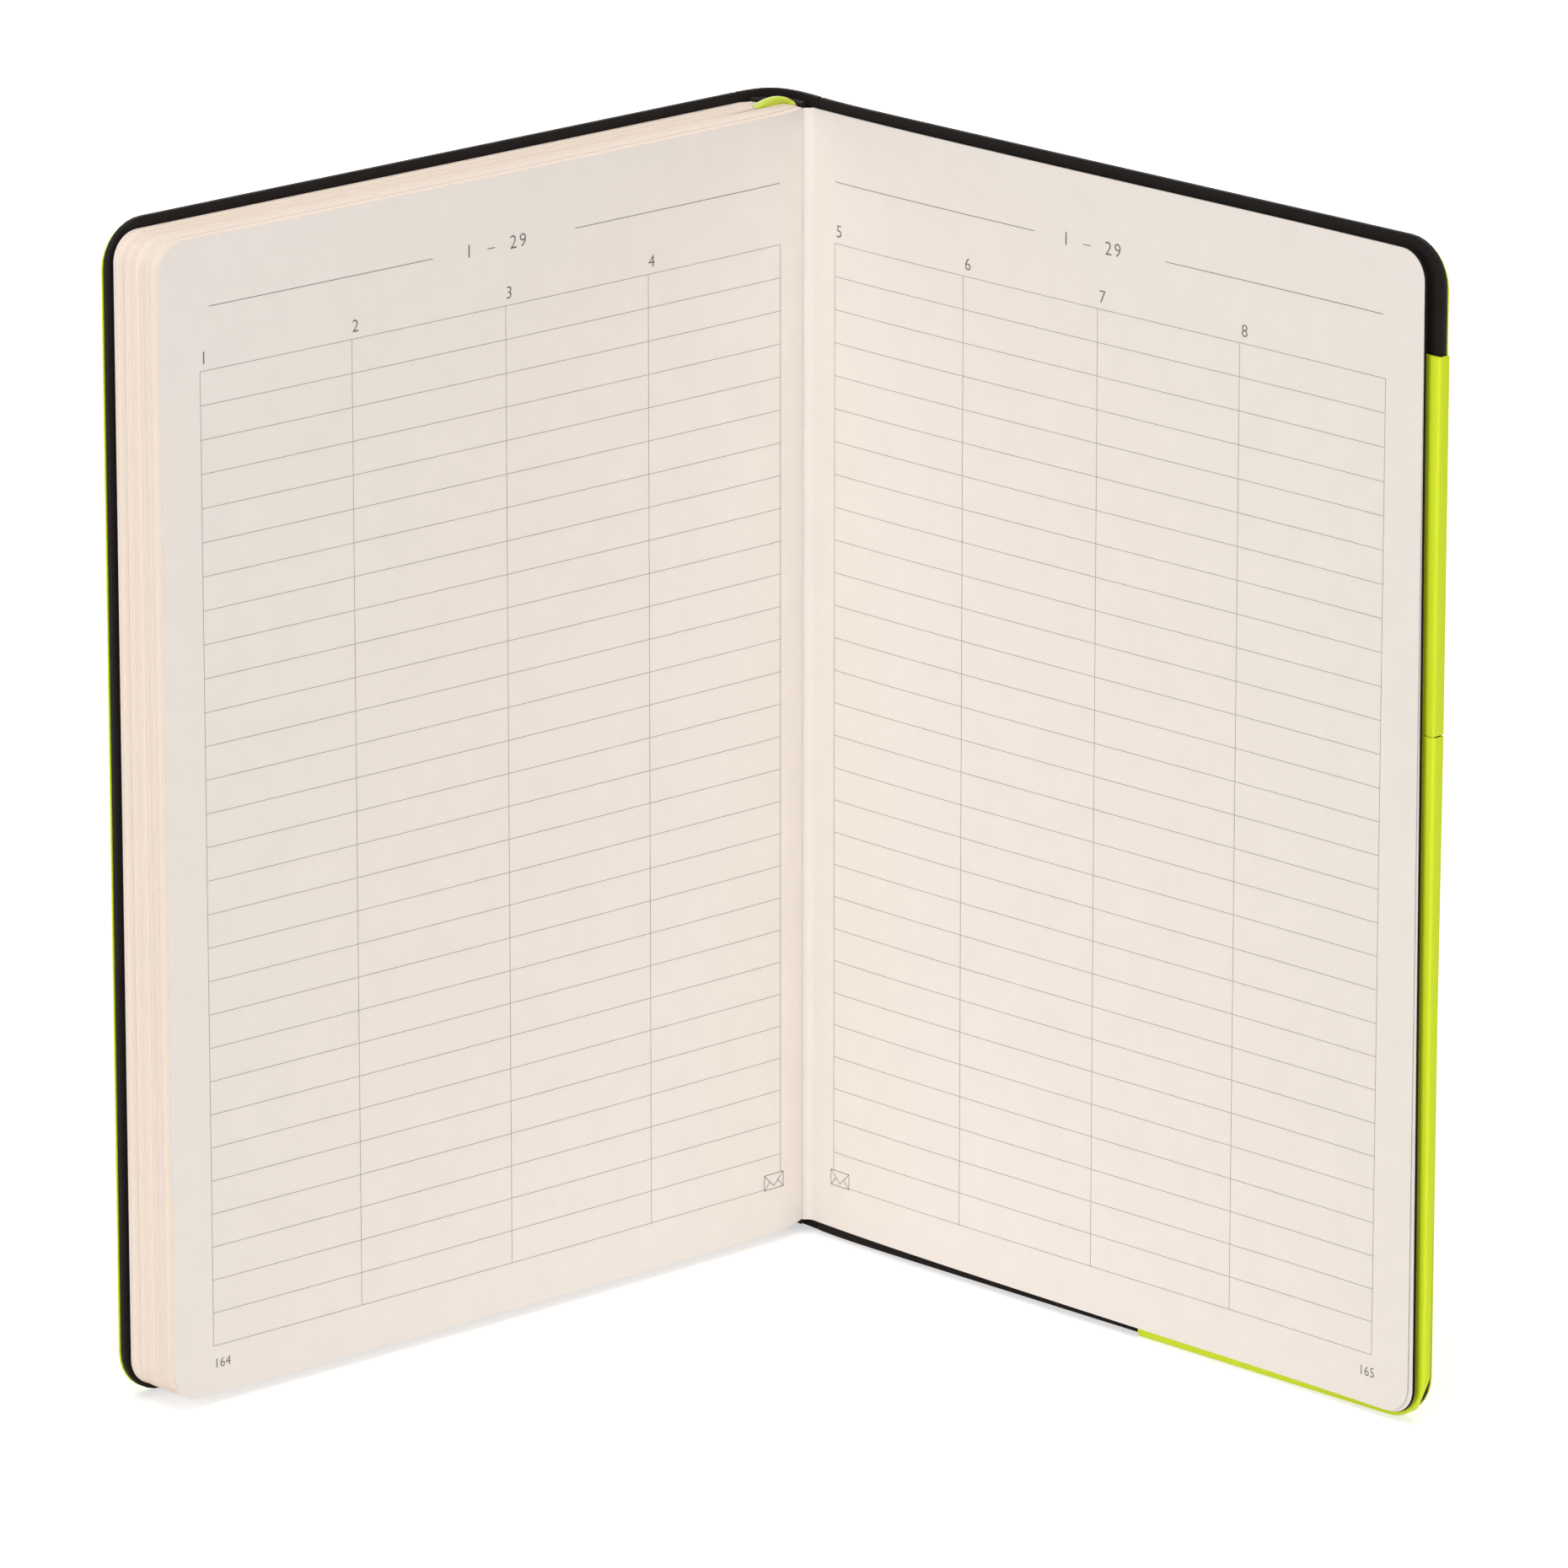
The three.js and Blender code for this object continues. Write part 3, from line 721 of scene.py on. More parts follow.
class NOTEBOOK_OT_block(bpy.types.Operator):
    """Makes the twelve sewn signatures of eight leaves"""
    bl_idname = "notebook.block"
    bl_label = "Block of Leaves"

    def execute(self, context):
        stray = context.scene.notebook_sizes.leaf_stray
        chance = random.Random(SEED)
        pattern = flat_leaf("leaf_pattern")
        for signature in range(1, SIGNATURES + 1):
            step_s, step_z = chance.uniform(*SECTION_OUT) * stray, chance.uniform(*SECTION_UP) * stray
            section_tint = chance.uniform(*SECTION_TINT)
            leaves = []
            for number in range(LEAVES):
                leaf = copy_of(pattern, f"leaf_{signature:02d}_{number}")
                open_page = signature == SIGNATURES and number == 0
                set_tint(leaf, 0 if open_page else section_tint + chance.uniform(*LEAF_TINT))
                move_s = 0 if open_page else step_s + chance.uniform(*LEAF_OUT) * stray
                move_z = 0 if open_page else step_z + chance.uniform(*LEAF_UP) * stray
                for vertex in leaf.data.vertices:
                    x, y, z = vertex.co
                    near, far = leaf_shares(number, x, signature)
                    share = near + (far - near) * y / LEAF
                    start, end = block_start(near), block_end(near) + move_s
                    s = start + x * (end - start) / PAGE_WIDTH
                    rise = LEFT_FOOT_RISE * math.exp(-x / FOOT_RISE_LENGTH) * (1 - z / PAGE_HEAD)
                    vertex.co = LEFT.at(s, block_depth(s, share), z + move_z + rise)
                leaves.append(leaf)
            name = f"signature_{signature:02d}"
            whole = settle(join(f"{name}_leaves", leaves), lambda x, y, z: (x, y, z))
            hand_over(whole, "block", "Page paper", name)
        bpy.data.objects.remove(pattern)
        return {"FINISHED"}


# Node, thickness and finish of the leaves on the right, from the open page to the back
LAST_LEAVES = (
    ("last_ruled_leaf", LEAF, "Page paper"),
    ("last_plain_leaf", LEAF, "Page paper"),
    ("back_free_endpaper", ENDPAPER, "Black paper"),
)


class NOTEBOOK_OT_endpapers(bpy.types.Operator):
    """Makes the last two leaves and the black leaves next to the covers"""
    bl_idname = "notebook.endpapers"
    bl_label = "Last Leaves and Endpapers"

    def execute(self, context):
        for number, (node, thickness, material) in enumerate(LAST_LEAVES):
            leaf = flat_plate(
                f"{node}_sheet", RIGHT_STARTS[number], RIGHT_ENDS[number], RIGHT_FOOT, PAGE_HEAD, thickness,
                corner=PAGE_CORNER, cuts=along_cuts(PAGE_WIDTH))
            curl = right_curl if number == 0 else lambda s: 0

            # Towards the foot the plain leaf and the endpaper splay out at the fore edge; the endpaper's
            # black there is painted shade for the gap before the pocket
            def place(s, n, z, back=number * LEAF_STEP, curl=curl, splay=LEAF_SPLAYS[number]):
                out = s / PAGE_WIDTH
                reach = splay * out * max(0, 1 - z / SPLAY_HEIGHT) ** 2
                rise = RIGHT_FOOT_RISE * (1 - out) * (1 - z / PAGE_HEAD)
                return RIGHT.at(s + reach, right_page(s) + back - curl(s) + n, z + rise)

            settle(leaf, place)
            if material == "Page paper":
                set_tint(leaf, 0)
            hand_over(leaf, "last_leaves", material, node)
        front = flat_plate(
            "front_free_endpaper_sheet", block_start(1), block_end(1), PAGE_FOOT, PAGE_HEAD, ENDPAPER,
            corner=PAGE_CORNER, cuts=along_cuts(PAGE_WIDTH))
        lay(front, LEFT, lambda s: block_back(s) + ENDPAPER_GAP)
        hand_over(front, "block", "Black paper", "front_free_endpaper")
        return {"FINISHED"}


# Covers and spine: name, depth, thickness, inset, width of the rounded edges and finish of each layer

COVER_LAYERS = (
    ("lining", 0, LINING, 0, 0.06 * MM, "Black paper"),
    ("board", BOARD_DEPTH, BOARD, 0, 0.34 * MM, "Black board"),
    ("skin", SKIN_DEPTH, SKIN, SKIN_INSET, 0.1 * MM, "Yellow skin"),
)


class NOTEBOOK_OT_covers(bpy.types.Operator):
    """Makes the two soft covers, each of a lining, a board and a skin"""
    bl_idname = "notebook.covers"
    bl_label = "Covers"

    def execute(self, context):
        sides = (
            ("front_cover", LEFT, FRONT_JOINT, FRONT_LINING, lambda s: 0),
            ("back_cover", RIGHT, BACK_JOINT, BACK_LINING, back_bend),
        )
        for cover, half, start, lining, bend in sides:
            for layer, depth, thickness, inset, edge, material in COVER_LAYERS:
                reach = COVER_REACH
                if half is LEFT:
                    reach += (SKIN_PROUD if layer == "skin" else 0) - FRONT_SHORT
                piece = flat_plate(
                    f"{cover}_{layer}_sheet", start - JOINT_COVERED, reach, COVER_FOOT, COVER_HEAD - inset,
                    thickness, edge, corner=COVER_CORNER, cuts=along_cuts(COVER_REACH))
                lay(piece, half, lambda s, back=lining + depth, bend=bend: back + bend(s))
                hand_over(piece, cover, material, f"{cover}_{layer}")
        return {"FINISHED"}


def spine_curve():
    """The four plan points that bend the spine strip from cover to cover."""
    start = LEFT.at(FRONT_JOINT - JOINT_GAP, FRONT_OUTSIDE, 0)
    end = RIGHT.at(BACK_JOINT - JOINT_GAP, BACK_OUTSIDE + BACK_BEND, 0)
    leave = start - LEFT.along * FRONT_PULL
    arrive = end - RIGHT.along * BACK_PULL + RIGHT.out * (BACK_PULL * BACK_BEND / BACK_BEND_LENGTH)
    return start, leave, arrive, end


class NOTEBOOK_OT_spine(bpy.types.Operator):
    """Makes the spine strip that bends round the back of the block"""
    bl_idname = "notebook.spine"
    bl_label = "Spine Strip"

    def execute(self, context):
        a, b, c, d = spine_curve()

        def bend(x, y, z):
            t = min(1, max(0, x / STRIP_LENGTH))
            point = a * (1 - t) ** 3 + b * 3 * t * (1 - t) ** 2 + c * 3 * t * t * (1 - t) + d * t ** 3
            way = ((b - a) * (1 - t) ** 2 + (c - b) * 2 * t * (1 - t) + (d - c) * t * t).normalized()
            return point + Vector((way.y, -way.x, 0)) * y + Vector((0, 0, z))

        for layer, depth, thickness, inset, edge, material in COVER_LAYERS:
            inward = FRONT_OUTSIDE - FRONT_LINING - depth - thickness
            if layer == "skin":
                inward = 0
            piece = flat_plate(
                f"spine_{layer}_sheet", 0, STRIP_LENGTH, COVER_FOOT + inset, COVER_HEAD - inset,
                thickness, edge, cuts=even_cuts(0, STRIP_LENGTH, STRIP_CUTS))
            settle(piece, lambda x, y, z, inward=inward: bend(x, y + inward, z))
            hand_over(piece, "block", material, f"spine_{layer}")
        return {"FINISHED"}


# Pocket, its card laid flat: the part inside the cover, the fold and the wall across the cover's edge

FOLD_FLAT = FLAP_INSIDE + CARD + LAYER_GAP - FLAP_FOLD
FOLD_TURN = FLAP_FOLD * math.pi / 2
WALL_START = FLAP_DEPTH + FLAP_FOLD
FOLD_WIDTH = FOLD_FLAT + FOLD_TURN + BACK_OUTSIDE - WALL_START
FOLD_CUTS = [FOLD_FLAT + FOLD_TURN * step / FOLD_STEPS for step in range(FOLD_STEPS + 1)]
CARD_REACH = COVER_REACH + LAYER_GAP + CARD


def fold_path(v, fold_end):
    """Across the folded card: how far inside the edge it lies, its depth, and which way it faces."""
    if v < FOLD_FLAT:
        return FOLD_FLAT + FLAP_FOLD - v, FLAP_DEPTH, 0
    if v < FOLD_FLAT + FOLD_TURN:
        angle = (v - FOLD_FLAT) / FLAP_FOLD
        return FLAP_FOLD * (1 - math.sin(angle)), FLAP_DEPTH + FLAP_FOLD * (1 - math.cos(angle)), angle
    share = (v - FOLD_FLAT - FOLD_TURN) / (BACK_OUTSIDE - WALL_START)
    return 0, WALL_START + share * (fold_end - WALL_START), math.pi / 2


def fold_point(v, y, fold_end=BACK_OUTSIDE):
    inside, depth, angle = fold_path(v, fold_end)
    return inside + y * math.sin(angle), depth + y * math.cos(angle)


class NOTEBOOK_OT_pocket(bpy.types.Operator):
    """Makes the card pocket with its flaps folded round the back cover"""
    bl_idname = "notebook.pocket"
    bl_label = "Pocket"

    def panel(self):
        mouth_end = COVER_REACH - MOUTH_WIDTH
        sheet = flat_sheet("pocket_panel_card", TAIL_START, COVER_REACH, COVER_FOOT, POCKET_TOP,
                           corner=COVER_CORNER, corners=("foot",))
        slant = Vector((mouth_end - TAIL_START, 0, POCKET_TOP - MOUTH_FOOT))
        bpy.ops.object.mode_set(mode="EDIT")
        bpy.ops.mesh.select_all(action="SELECT")
        bpy.ops.mesh.bisect(
            plane_co=(TAIL_START, 0, MOUTH_FOOT), plane_no=(-slant.z, 0, slant.x), clear_outer=True)
        cut(even_cuts(TAIL_START, COVER_REACH, PANEL_CUTS))
        bpy.ops.object.mode_set(mode="OBJECT")
        thicken(sheet, CARD)
        round_edges(sheet, PANEL_EDGE, segments=2)
        return lay(sheet, RIGHT, lambda s: PANEL_DEPTH)

    def upper_flap(self):
        flap = flat_plate(
            "pocket_fore_flap_upper_card", 0, FOLD_WIDTH, POCKET_SEAM + FLAP_SEAM, POCKET_TOP,
            CARD, FLAP_EDGE, cuts=FOLD_CUTS)

        def fold(v, y, z):
            inside, depth = fold_point(v, y)
            return RIGHT.at(CARD_REACH - inside, depth, z)

        return settle(flap, fold)

    def band(self):
        radius = COVER_CORNER + LAYER_GAP + CARD
        centre_s, centre_z = COVER_REACH - COVER_CORNER, COVER_FOOT + COVER_CORNER
        tail, turn = centre_s - TAIL_START, radius * math.pi / 2
        rise = POCKET_SEAM - FLAP_SEAM - centre_z
        cuts = [tail + turn * step / CORNER_STEPS for step in range(CORNER_STEPS + 1)]
        band = flat_plate(
            "pocket_band_card", 0, tail + turn + rise, 0, FOLD_WIDTH,
            CARD, FLAP_EDGE, cuts=cuts, rows=FOLD_CUTS)

        def fold(x, y, v):
            turned = (x - tail) / radius
            angle = min(math.pi / 2, max(0, turned))
            aside = min(1, abs(turned - NOTCH_MIDDLE) / NOTCH_REACH)
            notch = CORNER_NOTCH * math.cos(math.pi / 2 * aside) ** 2
            inside, depth = fold_point(v, y, BACK_OUTSIDE - notch)
            out = radius - inside
            before, after = min(0, x - tail), max(0, x - tail - turn)
            near_end = max(0, -before - tail + TAIL_SLANT_LENGTH) / TAIL_SLANT_LENGTH
            slant = TAIL_SLANT * (1 - v / FOLD_WIDTH) * near_end
            s = centre_s + before - slant + out * math.sin(angle)
            return RIGHT.at(s, depth, centre_z - out * math.cos(angle) + after)

        return settle(band, fold)

    def execute(self, context):
        hand_over(self.panel(), "back_cover", "Yellow card", "pocket_panel")
        hand_over(self.upper_flap(), "back_cover", "Yellow card", "pocket_fore_flap_upper")
        hand_over(self.band(), "back_cover", "Yellow card", "pocket_fore_flap_lower", "pocket_tail_flap")
        return {"FINISHED"}


# Back of the block


def back_strip(name, first, last, behind, thickness, foot, head):
    strip = flat_plate(name, first, last, foot, head, thickness, cuts=even_cuts(first, last, BACK_CUTS))
    return settle(strip, lambda share, y, z: behind_back(share, behind + y, z))


def bead(name, first, last, behind, radius, height):
    """A round cord along the back of the block."""
    deselect()
    bpy.ops.mesh.primitive_cylinder_add(
        vertices=12, radius=radius, depth=last - first,
        location=((first + last) / 2, 0, 0), rotation=(0, math.pi / 2, 0))
    cord = bpy.context.object
    cord.name = name
    bpy.ops.object.transform_apply(location=True, rotation=True, scale=True)
    bpy.ops.object.mode_set(mode="EDIT")
    cut(even_cuts(first, last, BACK_CUTS))
    bpy.ops.object.mode_set(mode="OBJECT")
    return settle(cord, lambda share, y, z: behind_back(share, behind + radius + y, height + z))


class NOTEBOOK_OT_bindings(bpy.types.Operator):
    """Makes the sewing thread, the cloth on the back of the block and the woven bands"""
    bl_idname = "notebook.bindings"
    bl_label = "Bindings"

    def execute(self, context):
        first, last = 1 / SIGNATURES, 1 - 1 / SIGNATURES
        top, bottom = PAGE_HEAD + BAND_PROUD, PAGE_FOOT - BAND_PROUD
        ends = (
            ("head_band", HEAD_BAND_BEHIND, PAGE_HEAD - BAND_HEIGHT, PAGE_HEAD, top - BAND),
            ("tail_band", TAIL_BAND_BEHIND, PAGE_FOOT, PAGE_FOOT + BAND_HEIGHT, bottom + BAND),
        )
        for node, behind, foot, head, height in ends:
            strip = back_strip(f"{node}_tape", first, last, behind, BAND, foot, head)
            roll = bead(f"{node}_roll", first, last, behind - ROLL_AHEAD, BAND, height)
            cloth = join(f"{node}_cloth", [strip, roll])
            hand_over(cloth, "block", "Black weave", node)
        foot, head = PAGE_FOOT + BAND_HEIGHT + GAUZE_CLEAR, RIBBON_GLUED_FROM - GAUZE_CLEAR
        gauze = back_strip("spine_gauze_cloth", 0, 1, GAUZE_BEHIND, GAUZE, foot, head)
        hand_over(gauze, "block", "Cotton", "spine_gauze")
        self.thread()
        return {"FINISHED"}

    def thread(self):
        foot = PAGE_FOOT + BAND_HEIGHT + THREAD_CLEAR
        head = RIBBON_GLUED_FROM - THREAD_CLEAR
        route = []
        for run in range(SIGNATURES):
            heights = (foot, head) if run % 2 == 0 else (head, foot)
            route += [behind_back((run + 0.5) / SIGNATURES, THREAD_BEHIND, z) for z in heights]
        line = bpy.data.curves.new("sewing_thread_line", "CURVE")
        line.dimensions = "3D"
        line.bevel_depth = THREAD / 2
        spline = line.splines.new("POLY")
        spline.points.add(len(route) - 1)
        for point, place in zip(spline.points, route):
            point.co = (*place, 1)
        line.use_fill_caps = True
        thread = bpy.data.objects.new("sewing_thread_line", line)
        bpy.context.scene.collection.objects.link(thread)
        pick(thread)
        bpy.ops.object.convert(target="MESH")
        hand_over(bpy.context.object, "block", "Cotton", "sewing_thread")


# Ribbon marker


def ribbon_place(u, w, width):
    """A point of the ribbon, w across it. It is glued up to u = 1, over the head to 2 and inside to 3."""
    aside = w * width / 2
    share = RIBBON_SHARE + aside / BLOCK_THICKNESS
    if u <= 1:
        return behind_back(share, RIBBON_BEHIND, RIBBON_GLUED_FROM + (PAGE_HEAD - RIBBON_GLUED_FROM) * u)
    inside = LEFT.at(RIBBON_INSIDE, block_depth(RIBBON_INSIDE, RIBBON_SHARE) + RIBBON_ROOM / 2, PAGE_HEAD)
    if u >= 2:
        drop = (u - 2) * (PAGE_HEAD - PAGE_FOOT - RIBBON_SHORT)
        return inside + LEFT.along * aside - Vector((0, 0, drop))
    back = behind_back(RIBBON_SHARE, RIBBON_BEHIND, PAGE_HEAD)
    over = (1 - math.cos(math.pi * (u - 1))) / 2
    turn = over * math.pi / 2
    glued = behind_back(share, RIBBON_BEHIND, PAGE_HEAD) - back
    across = glued * math.cos(turn) + LEFT.along * aside * math.sin(turn)
    rise = RIBBON_ARCH * math.sin(math.pi * (u - 1)) * (1 - RIBBON_BOW * w * w)
    return back.lerp(inside, over) + across + Vector((0, 0, rise))


class NOTEBOOK_OT_ribbon(bpy.types.Operator):
    """Makes the ribbon marker that comes out over the head of the block"""
    bl_idname = "notebook.ribbon"
    bl_label = "Ribbon Marker"

    def execute(self, context):
        width = context.scene.notebook_sizes.ribbon_width
        cuts = []
        for start, count in enumerate(RIBBON_CUTS):
            cuts += even_cuts(start, start + 1, count)
        cuts += [1, 2]
        rows = even_cuts(-1, 1, RIBBON_ROWS)
        strip = flat_plate("ribbon_marker_satin", 0, 3, -1, 1, RIBBON, cuts=cuts, rows=rows)
        marks = [step / RIBBON_MARKS for step in range(3 * RIBBON_MARKS + 1)]
        middles = [ribbon_place(mark, 0, width) for mark in marks]
        ran = [0]
        for a, b in zip(middles, middles[1:]):
            ran.append(ran[-1] + (b - a).length)
        layer = strip.data.uv_layers.new(name="Weave")
        for loop in strip.data.loops:
            u, _, w = strip.data.vertices[loop.vertex_index].co
            step = min(len(ran) - 2, int(u * RIBBON_MARKS))
            along = ran[step] + (u * RIBBON_MARKS - step) * (ran[step + 1] - ran[step])
            layer.data[loop.index].uv = (along, w * width / 2)

        def bend(u, y, w):
            near = 0.01
            along = ribbon_place(u + near, w, width) - ribbon_place(u - near, w, width)
            across = ribbon_place(u, w + near, width) - ribbon_place(u, w - near, width)
            face = along.cross(across).normalized()
            return ribbon_place(u, w, width) + face * (y - RIBBON / 2)

        settle(strip, bend)
        hand_over(strip, "block", "Ribbon satin", "ribbon_marker")
        return {"FINISHED"}


# Print


def stroke(name, start, end, width, cuts=()):
    """A printed line between two places on the flat page."""
    run = Vector((end[0] - start[0], end[1] - start[1]))
    middle = (start[0] + end[0]) / 2, (start[1] + end[1]) / 2
    line = rectangle(name, *middle, run.length, width, -math.atan2(run.y, run.x))
    low, high = sorted((start[0], end[0]))
    cut([place for place in cuts if low < place < high])
    bpy.ops.object.mode_set(mode="OBJECT")
    thicken(line, INK_THICKNESS)
    return line


def shifted(piece, name, rise):
    twin = copy_of(piece, name)
    for vertex in twin.data.vertices:
        vertex.co.z += rise
    return twin


# Spacing of the numbers, and how far they are thinned and how thick they are at a size of 1
NUMBER_SPACING = 1.25
NUMBER_THINNED = 0.012
NUMBER_DEPTH = 0.01


def number(name, body, start, foot, height, way, spacing=NUMBER_SPACING):
    """A printed number as a thin mesh on the flat page. way is -1 on the left, where s runs leftwards."""
    deselect()
    bpy.ops.object.text_add()
    text = bpy.context.object
    text.data.body = body
    text.data.size = 1
    text.data.offset = -NUMBER_THINNED
    text.data.space_character = spacing
    text.data.resolution_u = 3
    text.data.extrude = NUMBER_DEPTH
    bpy.ops.object.convert(target="MESH")
    made = bpy.context.object
    made.name = name
    places = [vertex.co for vertex in made.data.vertices]
    low = min(place.y for place in places)
    scale = height / (max(place.y for place in places) - low)
    for vertex in made.data.vertices:
        x, y, thickness = vertex.co
        depth = (NUMBER_DEPTH - thickness) / (2 * NUMBER_DEPTH) * INK_THICKNESS
        vertex.co = (start + way * x * scale, depth, foot + (y - low) * scale)
    return made


def envelope(side, near, foot, width, cuts):
    """The outline of an envelope at the inner corner of the table."""
    far, head = near + ENVELOPE_WIDTH, foot + ENVELOPE_HEIGHT
    point = ((near + far) / 2, foot + ENVELOPE_POINT)
    corners = ((near, foot), (far, foot), (far, head), (near, head))
    lines = [(corners[i], corners[(i + 1) % 4]) for i in range(4)]
    lines += [((near, head), point), ((far, head), point)]
    lines.append(((near, foot), (near + ENVELOPE_SEAM, foot + ENVELOPE_SEAM_RISE)))
    lines.append(((far, foot), (far - ENVELOPE_SEAM, foot + ENVELOPE_SEAM_RISE)))
    return [stroke(f"{side}_envelope_{i}", *line, width, cuts) for i, line in enumerate(lines)]


class NOTEBOOK_OT_print(bpy.types.Operator):
    """Makes the ruled table, the title lines and the plain numbers on both open pages"""
    bl_idname = "notebook.print"
    bl_label = "Print"

    def page(self, sizes, side, half, depth, columns, rules, heads, body, node):
        line, cuts = sizes.line_width, along_cuts(PAGE_WIDTH)
        way = -1 if half is LEFT else 1
        inner, outer = min(columns), max(columns)
        bottom = sizes.table_head - sizes.rows * sizes.row_pitch
        marks = [stroke(f"{side}_row_0", (inner, sizes.table_head), (outer, sizes.table_head), line, cuts)]
        for row in range(1, sizes.rows):
            marks.append(shifted(marks[0], f"{side}_row_{row}", -row * sizes.row_pitch))
        envelope_end = inner + ENVELOPE_WIDTH - ENVELOPE_ASIDE
        marks.append(stroke(f"{side}_row_last", (envelope_end, bottom), (outer, bottom), line, cuts))
        for number_of, s in enumerate(columns):
            foot = bottom + (ENVELOPE_HEIGHT - ENVELOPE_DROP if s == inner else 0)
            marks.append(stroke(f"{side}_column_{number_of}", (s, foot), (s, sizes.table_head), line))
        bold = line * BOLD
        numbers = envelope(side, inner - ENVELOPE_ASIDE, bottom - ENVELOPE_DROP, bold, cuts)
        for number_of, (start, end) in enumerate(rules):
            ends = (start, sizes.title_height), (end, sizes.title_height)
            numbers.append(stroke(f"{side}_rule_{number_of}", *ends, bold, cuts))
        for number_of, (text, s) in enumerate(heads):
            foot = sizes.table_head + HEAD_RISE
            numbers.append(number(f"{side}_head_{number_of}", text, s, foot, sizes.head_letters, way))
        title_start = LEFT_TITLE if half is LEFT else RIGHT_TITLE
        page_start = outer if half is LEFT else outer - RIGHT_NUMBER_ASIDE
        title_foot, height = sizes.title_height - TITLE_DROP, sizes.title_letters
        numbers.append(number(f"{side}_title", "1  –  29", title_start, title_foot, height, way))
        height = sizes.page_letters
        numbers.append(number(f"{side}_page_number", body, page_start, PAGE_NUMBER_FOOT, height, way, 1))
        for name, pieces, ink in (("lines", marks, "Ink"), ("numbers", numbers, "Dark ink")):
            whole = join(f"{side}_{name}", pieces)
            lay(whole, half, lambda s: depth(s) - INK_FRONT)
            hand_over(whole, node, ink)

    def execute(self, context):
        sizes = context.scene.notebook_sizes
        left_heads = list(zip("1234", LEFT_COLUMNS[:4]))
        right_heads = [(text, s + RIGHT_HEAD_ASIDE) for text, s in zip("5678", RIGHT_COLUMNS[:4])]
        self.page(sizes, "left", LEFT, left_page, LEFT_COLUMNS, LEFT_RULES, left_heads, "164", "block")
        self.page(
            sizes, "right", RIGHT, right_page, RIGHT_COLUMNS, RIGHT_RULES, right_heads, "165", "last_leaves")
        return {"FINISHED"}


# Stage


CAMERA_DISTANCE = 2.2
CAMERA_ELEVATION = math.radians(16.81)
CAMERA_LENS = 283.83
CAMERA_TARGET = (-3.689 * MM, 0, 84.759 * MM)

# The floor's tone as a surface that lights the notebook, and as the camera sees it
FLOOR_TONE = (0.85, 0.85, 0.85, 1)
FLOOR_SEEN_TONE = (0.66, 0.66, 0.66, 1)

# Two distances from the origin in metres, and the floor's glow at each
BACKDROP_GLOW = (0.15, 0.8, 0.55, 0.95)
BOUNCE_GLOW = (0.1, 0.4, 0.12, 0)
WORLD_LIGHT = 0.25

# Name, place, target, width and power of each lamp
LAMPS = (
    ("key_lamp", (-0.75, -1.1, 0.45), (0.02, 0, 0.08), 0.8, 6.4),
    ("fill_lamp", (0.85, -1.35, 0.35), (0, 0, 0.05), 1, 6.8),
    ("top_lamp", (0, -0.35, 1.5), (0, 0, 0.1), 1.2, 9.4),
    ("back_lamp", (0.15, 1.4, 0.9), (0, 0, 0.1), 1.2, 12.5),
)


def area_lamp(name, place, target, size, power):
    lamp = bpy.data.lights.new(name, "AREA")
    lamp.shape = "DISK"
    lamp.size = size
    lamp.energy = power
    holder = bpy.data.objects.new(name, lamp)
    bpy.context.scene.collection.objects.link(holder)
    holder.location = place
    holder.rotation_euler = (Vector(target) - Vector(place)).to_track_quat("-Z", "Y").to_euler()


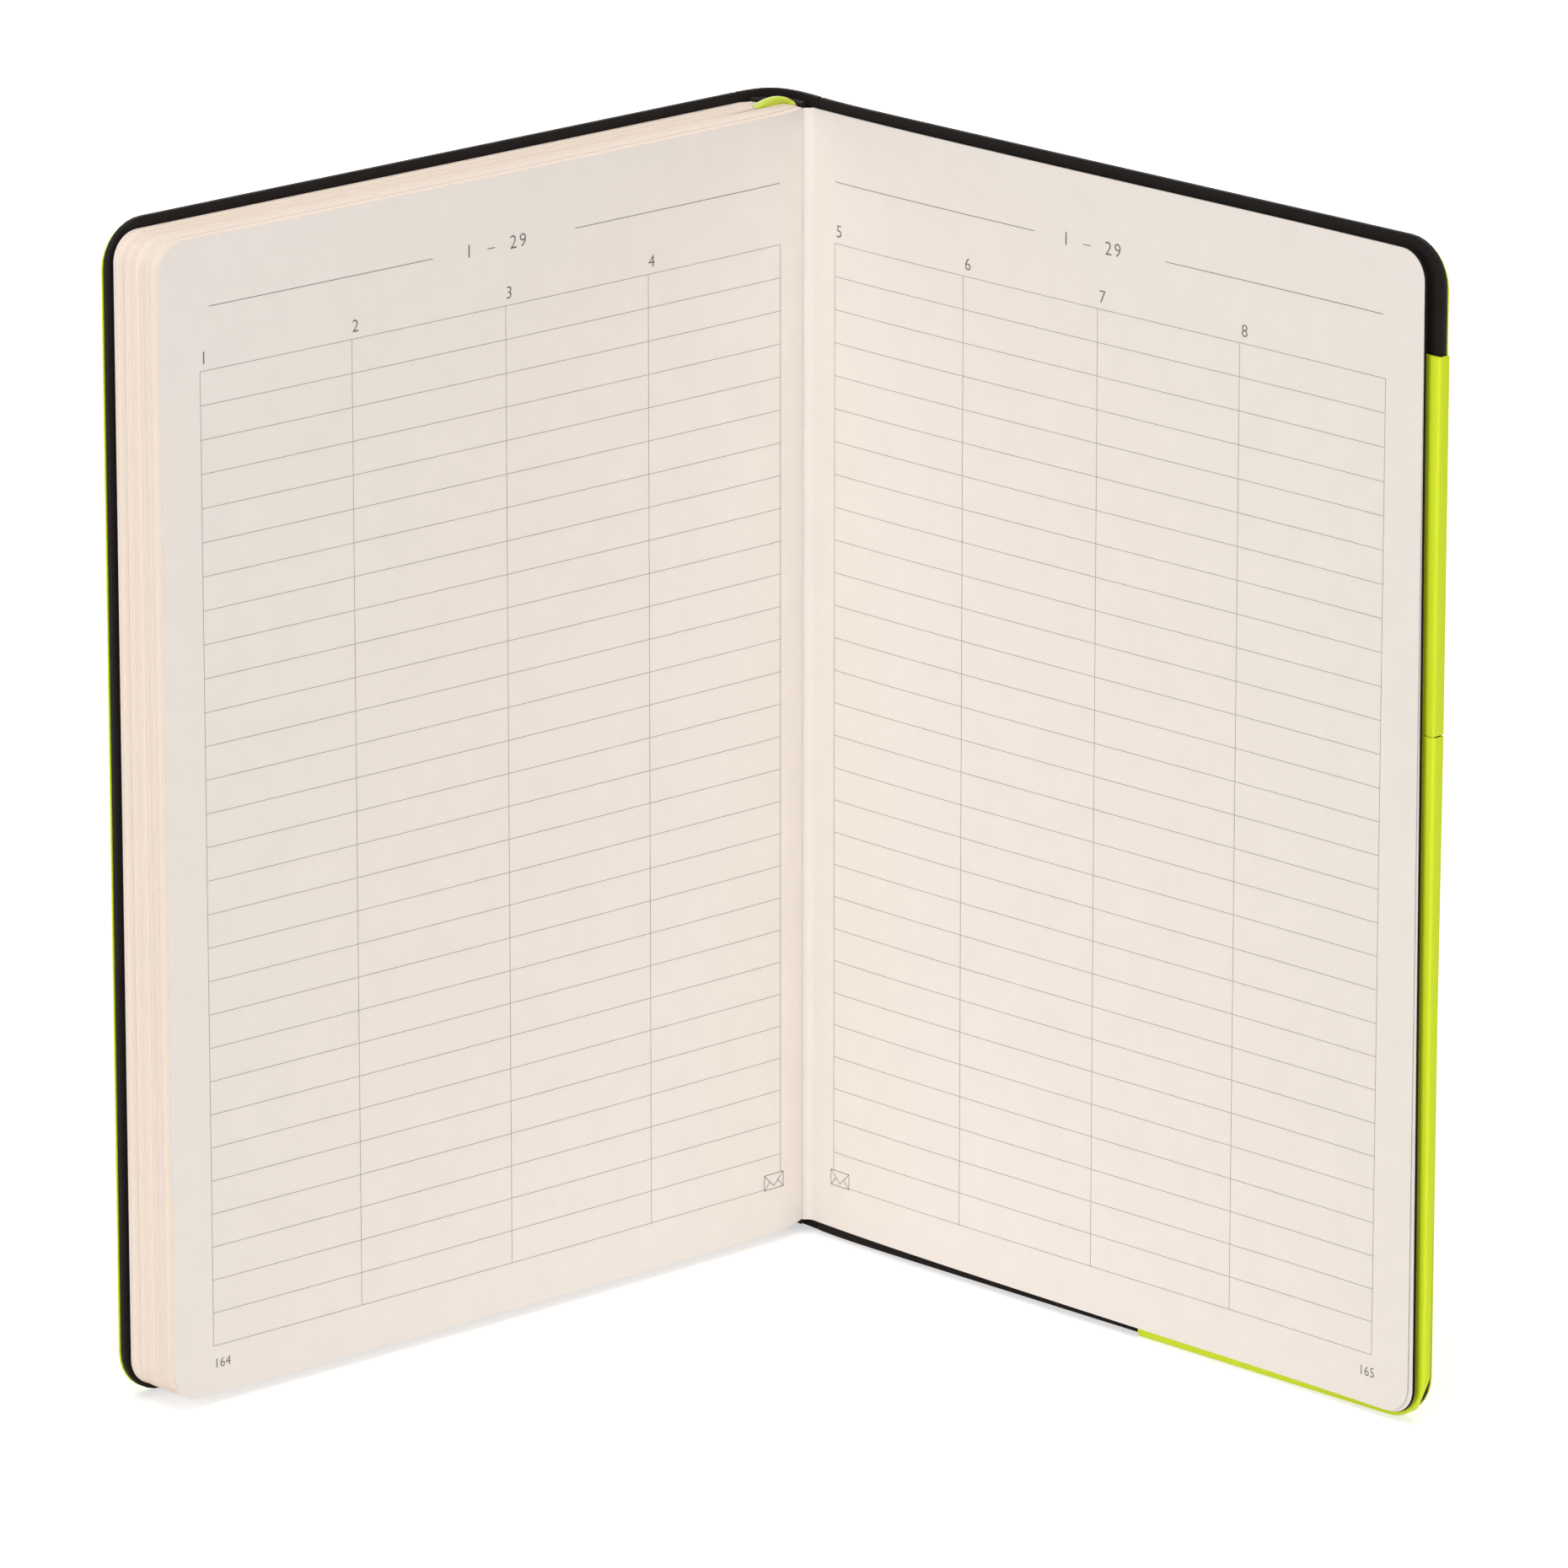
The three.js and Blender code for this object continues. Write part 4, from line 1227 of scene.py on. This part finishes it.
class NOTEBOOK_OT_stage(bpy.types.Operator):
    """Sets up the floor, the light and the camera"""
    bl_idname = "notebook.stage"
    bl_label = "Stage"

    def floor(self):
        deselect()
        bpy.ops.mesh.primitive_plane_add(size=12, location=(0, 0, 0))
        floor = bpy.context.object
        floor.name = "floor"
        material, nodes, shader = new_material("White floor", roughness=1, specular=0)
        shader["Emission Color"].default_value = (1, 1, 1, 1)
        rays = nodes.add("ShaderNodeLightPath").outputs
        seen = nodes.maths("MAXIMUM", rays["Is Camera Ray"], rays["Is Glossy Ray"])
        nodes.feed(shader["Base Color"], nodes.blend(seen, FLOOR_TONE, FLOOR_SEEN_TONE))
        away = nodes.add("ShaderNodeVectorMath", operation="LENGTH")
        nodes.feed(away.inputs[0], nodes.place())
        backdrop = nodes.spread(away.outputs["Value"], *BACKDROP_GLOW)
        bounce = nodes.spread(away.outputs["Value"], *BOUNCE_GLOW)
        unseen = nodes.maths("MULTIPLY", nodes.maths("SUBTRACT", 1, seen), bounce)
        glow = nodes.maths("ADD", nodes.maths("MULTIPLY", seen, backdrop), unseen)
        nodes.feed(shader["Emission Strength"], glow)
        floor.data.materials.append(material)

    def world(self):
        world = bpy.context.scene.world or bpy.data.worlds.new("World")
        bpy.context.scene.world = world
        world.use_nodes = True
        nodes = Nodes(world.node_tree)
        background = next(node for node in world.node_tree.nodes if node.type == "BACKGROUND")
        background.inputs["Color"].default_value = (1, 1, 1, 1)
        rays = nodes.add("ShaderNodeLightPath").outputs
        through = nodes.maths("MAXIMUM", rays["Is Glossy Ray"], rays["Is Transmission Ray"])
        seen = nodes.maths("MAXIMUM", rays["Is Camera Ray"], through)
        nodes.feed(background.inputs["Strength"], nodes.spread(seen, 0, 1, WORLD_LIGHT, 1))

    def camera(self):
        target = GUTTER + Vector(CAMERA_TARGET)
        back = Vector((0, -math.cos(CAMERA_ELEVATION), math.sin(CAMERA_ELEVATION)))
        lens = bpy.data.cameras.new("camera")
        lens.lens = CAMERA_LENS
        lens.sensor_width = 36
        lens.clip_end = 50
        camera = bpy.data.objects.new("camera", lens)
        bpy.context.scene.collection.objects.link(camera)
        camera.location = target + back * CAMERA_DISTANCE
        camera.rotation_euler = (-back).to_track_quat("-Z", "Y").to_euler()
        bpy.context.scene.camera = camera

    def execute(self, context):
        self.camera()
        self.floor()
        self.world()
        for lamp in LAMPS:
            area_lamp(*lamp)
        bpy.context.scene.view_settings.view_transform = "Standard"
        return {"FINISHED"}


class NOTEBOOK_PT_panel(bpy.types.Panel):
    """The notebook's sizes, colours and pieces"""
    bl_idname = "NOTEBOOK_PT_panel"
    bl_label = "Lined Notebook"
    bl_space_type = "VIEW_3D"
    bl_region_type = "UI"
    bl_category = "Notebook"

    def draw(self, context):
        for group in (context.scene.notebook_sizes, context.scene.notebook_colours):
            box = self.layout.box()
            for name in group.__annotations__:
                box.prop(group, name)
        for operator in OPERATORS:
            self.layout.operator(operator.bl_idname)


OPERATORS = (
    NOTEBOOK_OT_stage,
    NOTEBOOK_OT_block,
    NOTEBOOK_OT_endpapers,
    NOTEBOOK_OT_covers,
    NOTEBOOK_OT_spine,
    NOTEBOOK_OT_pocket,
    NOTEBOOK_OT_bindings,
    NOTEBOOK_OT_ribbon,
    NOTEBOOK_OT_print,
)
GROUPS = (NotebookSizes, NotebookColours)


def register():
    for kind in (*GROUPS, *OPERATORS, NOTEBOOK_PT_panel):
        bpy.utils.register_class(kind)
    bpy.types.Scene.notebook_sizes = bpy.props.PointerProperty(type=NotebookSizes)
    bpy.types.Scene.notebook_colours = bpy.props.PointerProperty(type=NotebookColours)


def unregister():
    del bpy.types.Scene.notebook_colours
    del bpy.types.Scene.notebook_sizes
    for kind in reversed((*GROUPS, *OPERATORS, NOTEBOOK_PT_panel)):
        bpy.utils.unregister_class(kind)


def main():
    register()
    bpy.ops.notebook.stage()
    bpy.ops.notebook.block()
    bpy.ops.notebook.endpapers()
    bpy.ops.notebook.covers()
    bpy.ops.notebook.spine()
    bpy.ops.notebook.pocket()
    bpy.ops.notebook.bindings()
    bpy.ops.notebook.ribbon()
    bpy.ops.notebook.print()


if __name__ == "__main__":
    main()
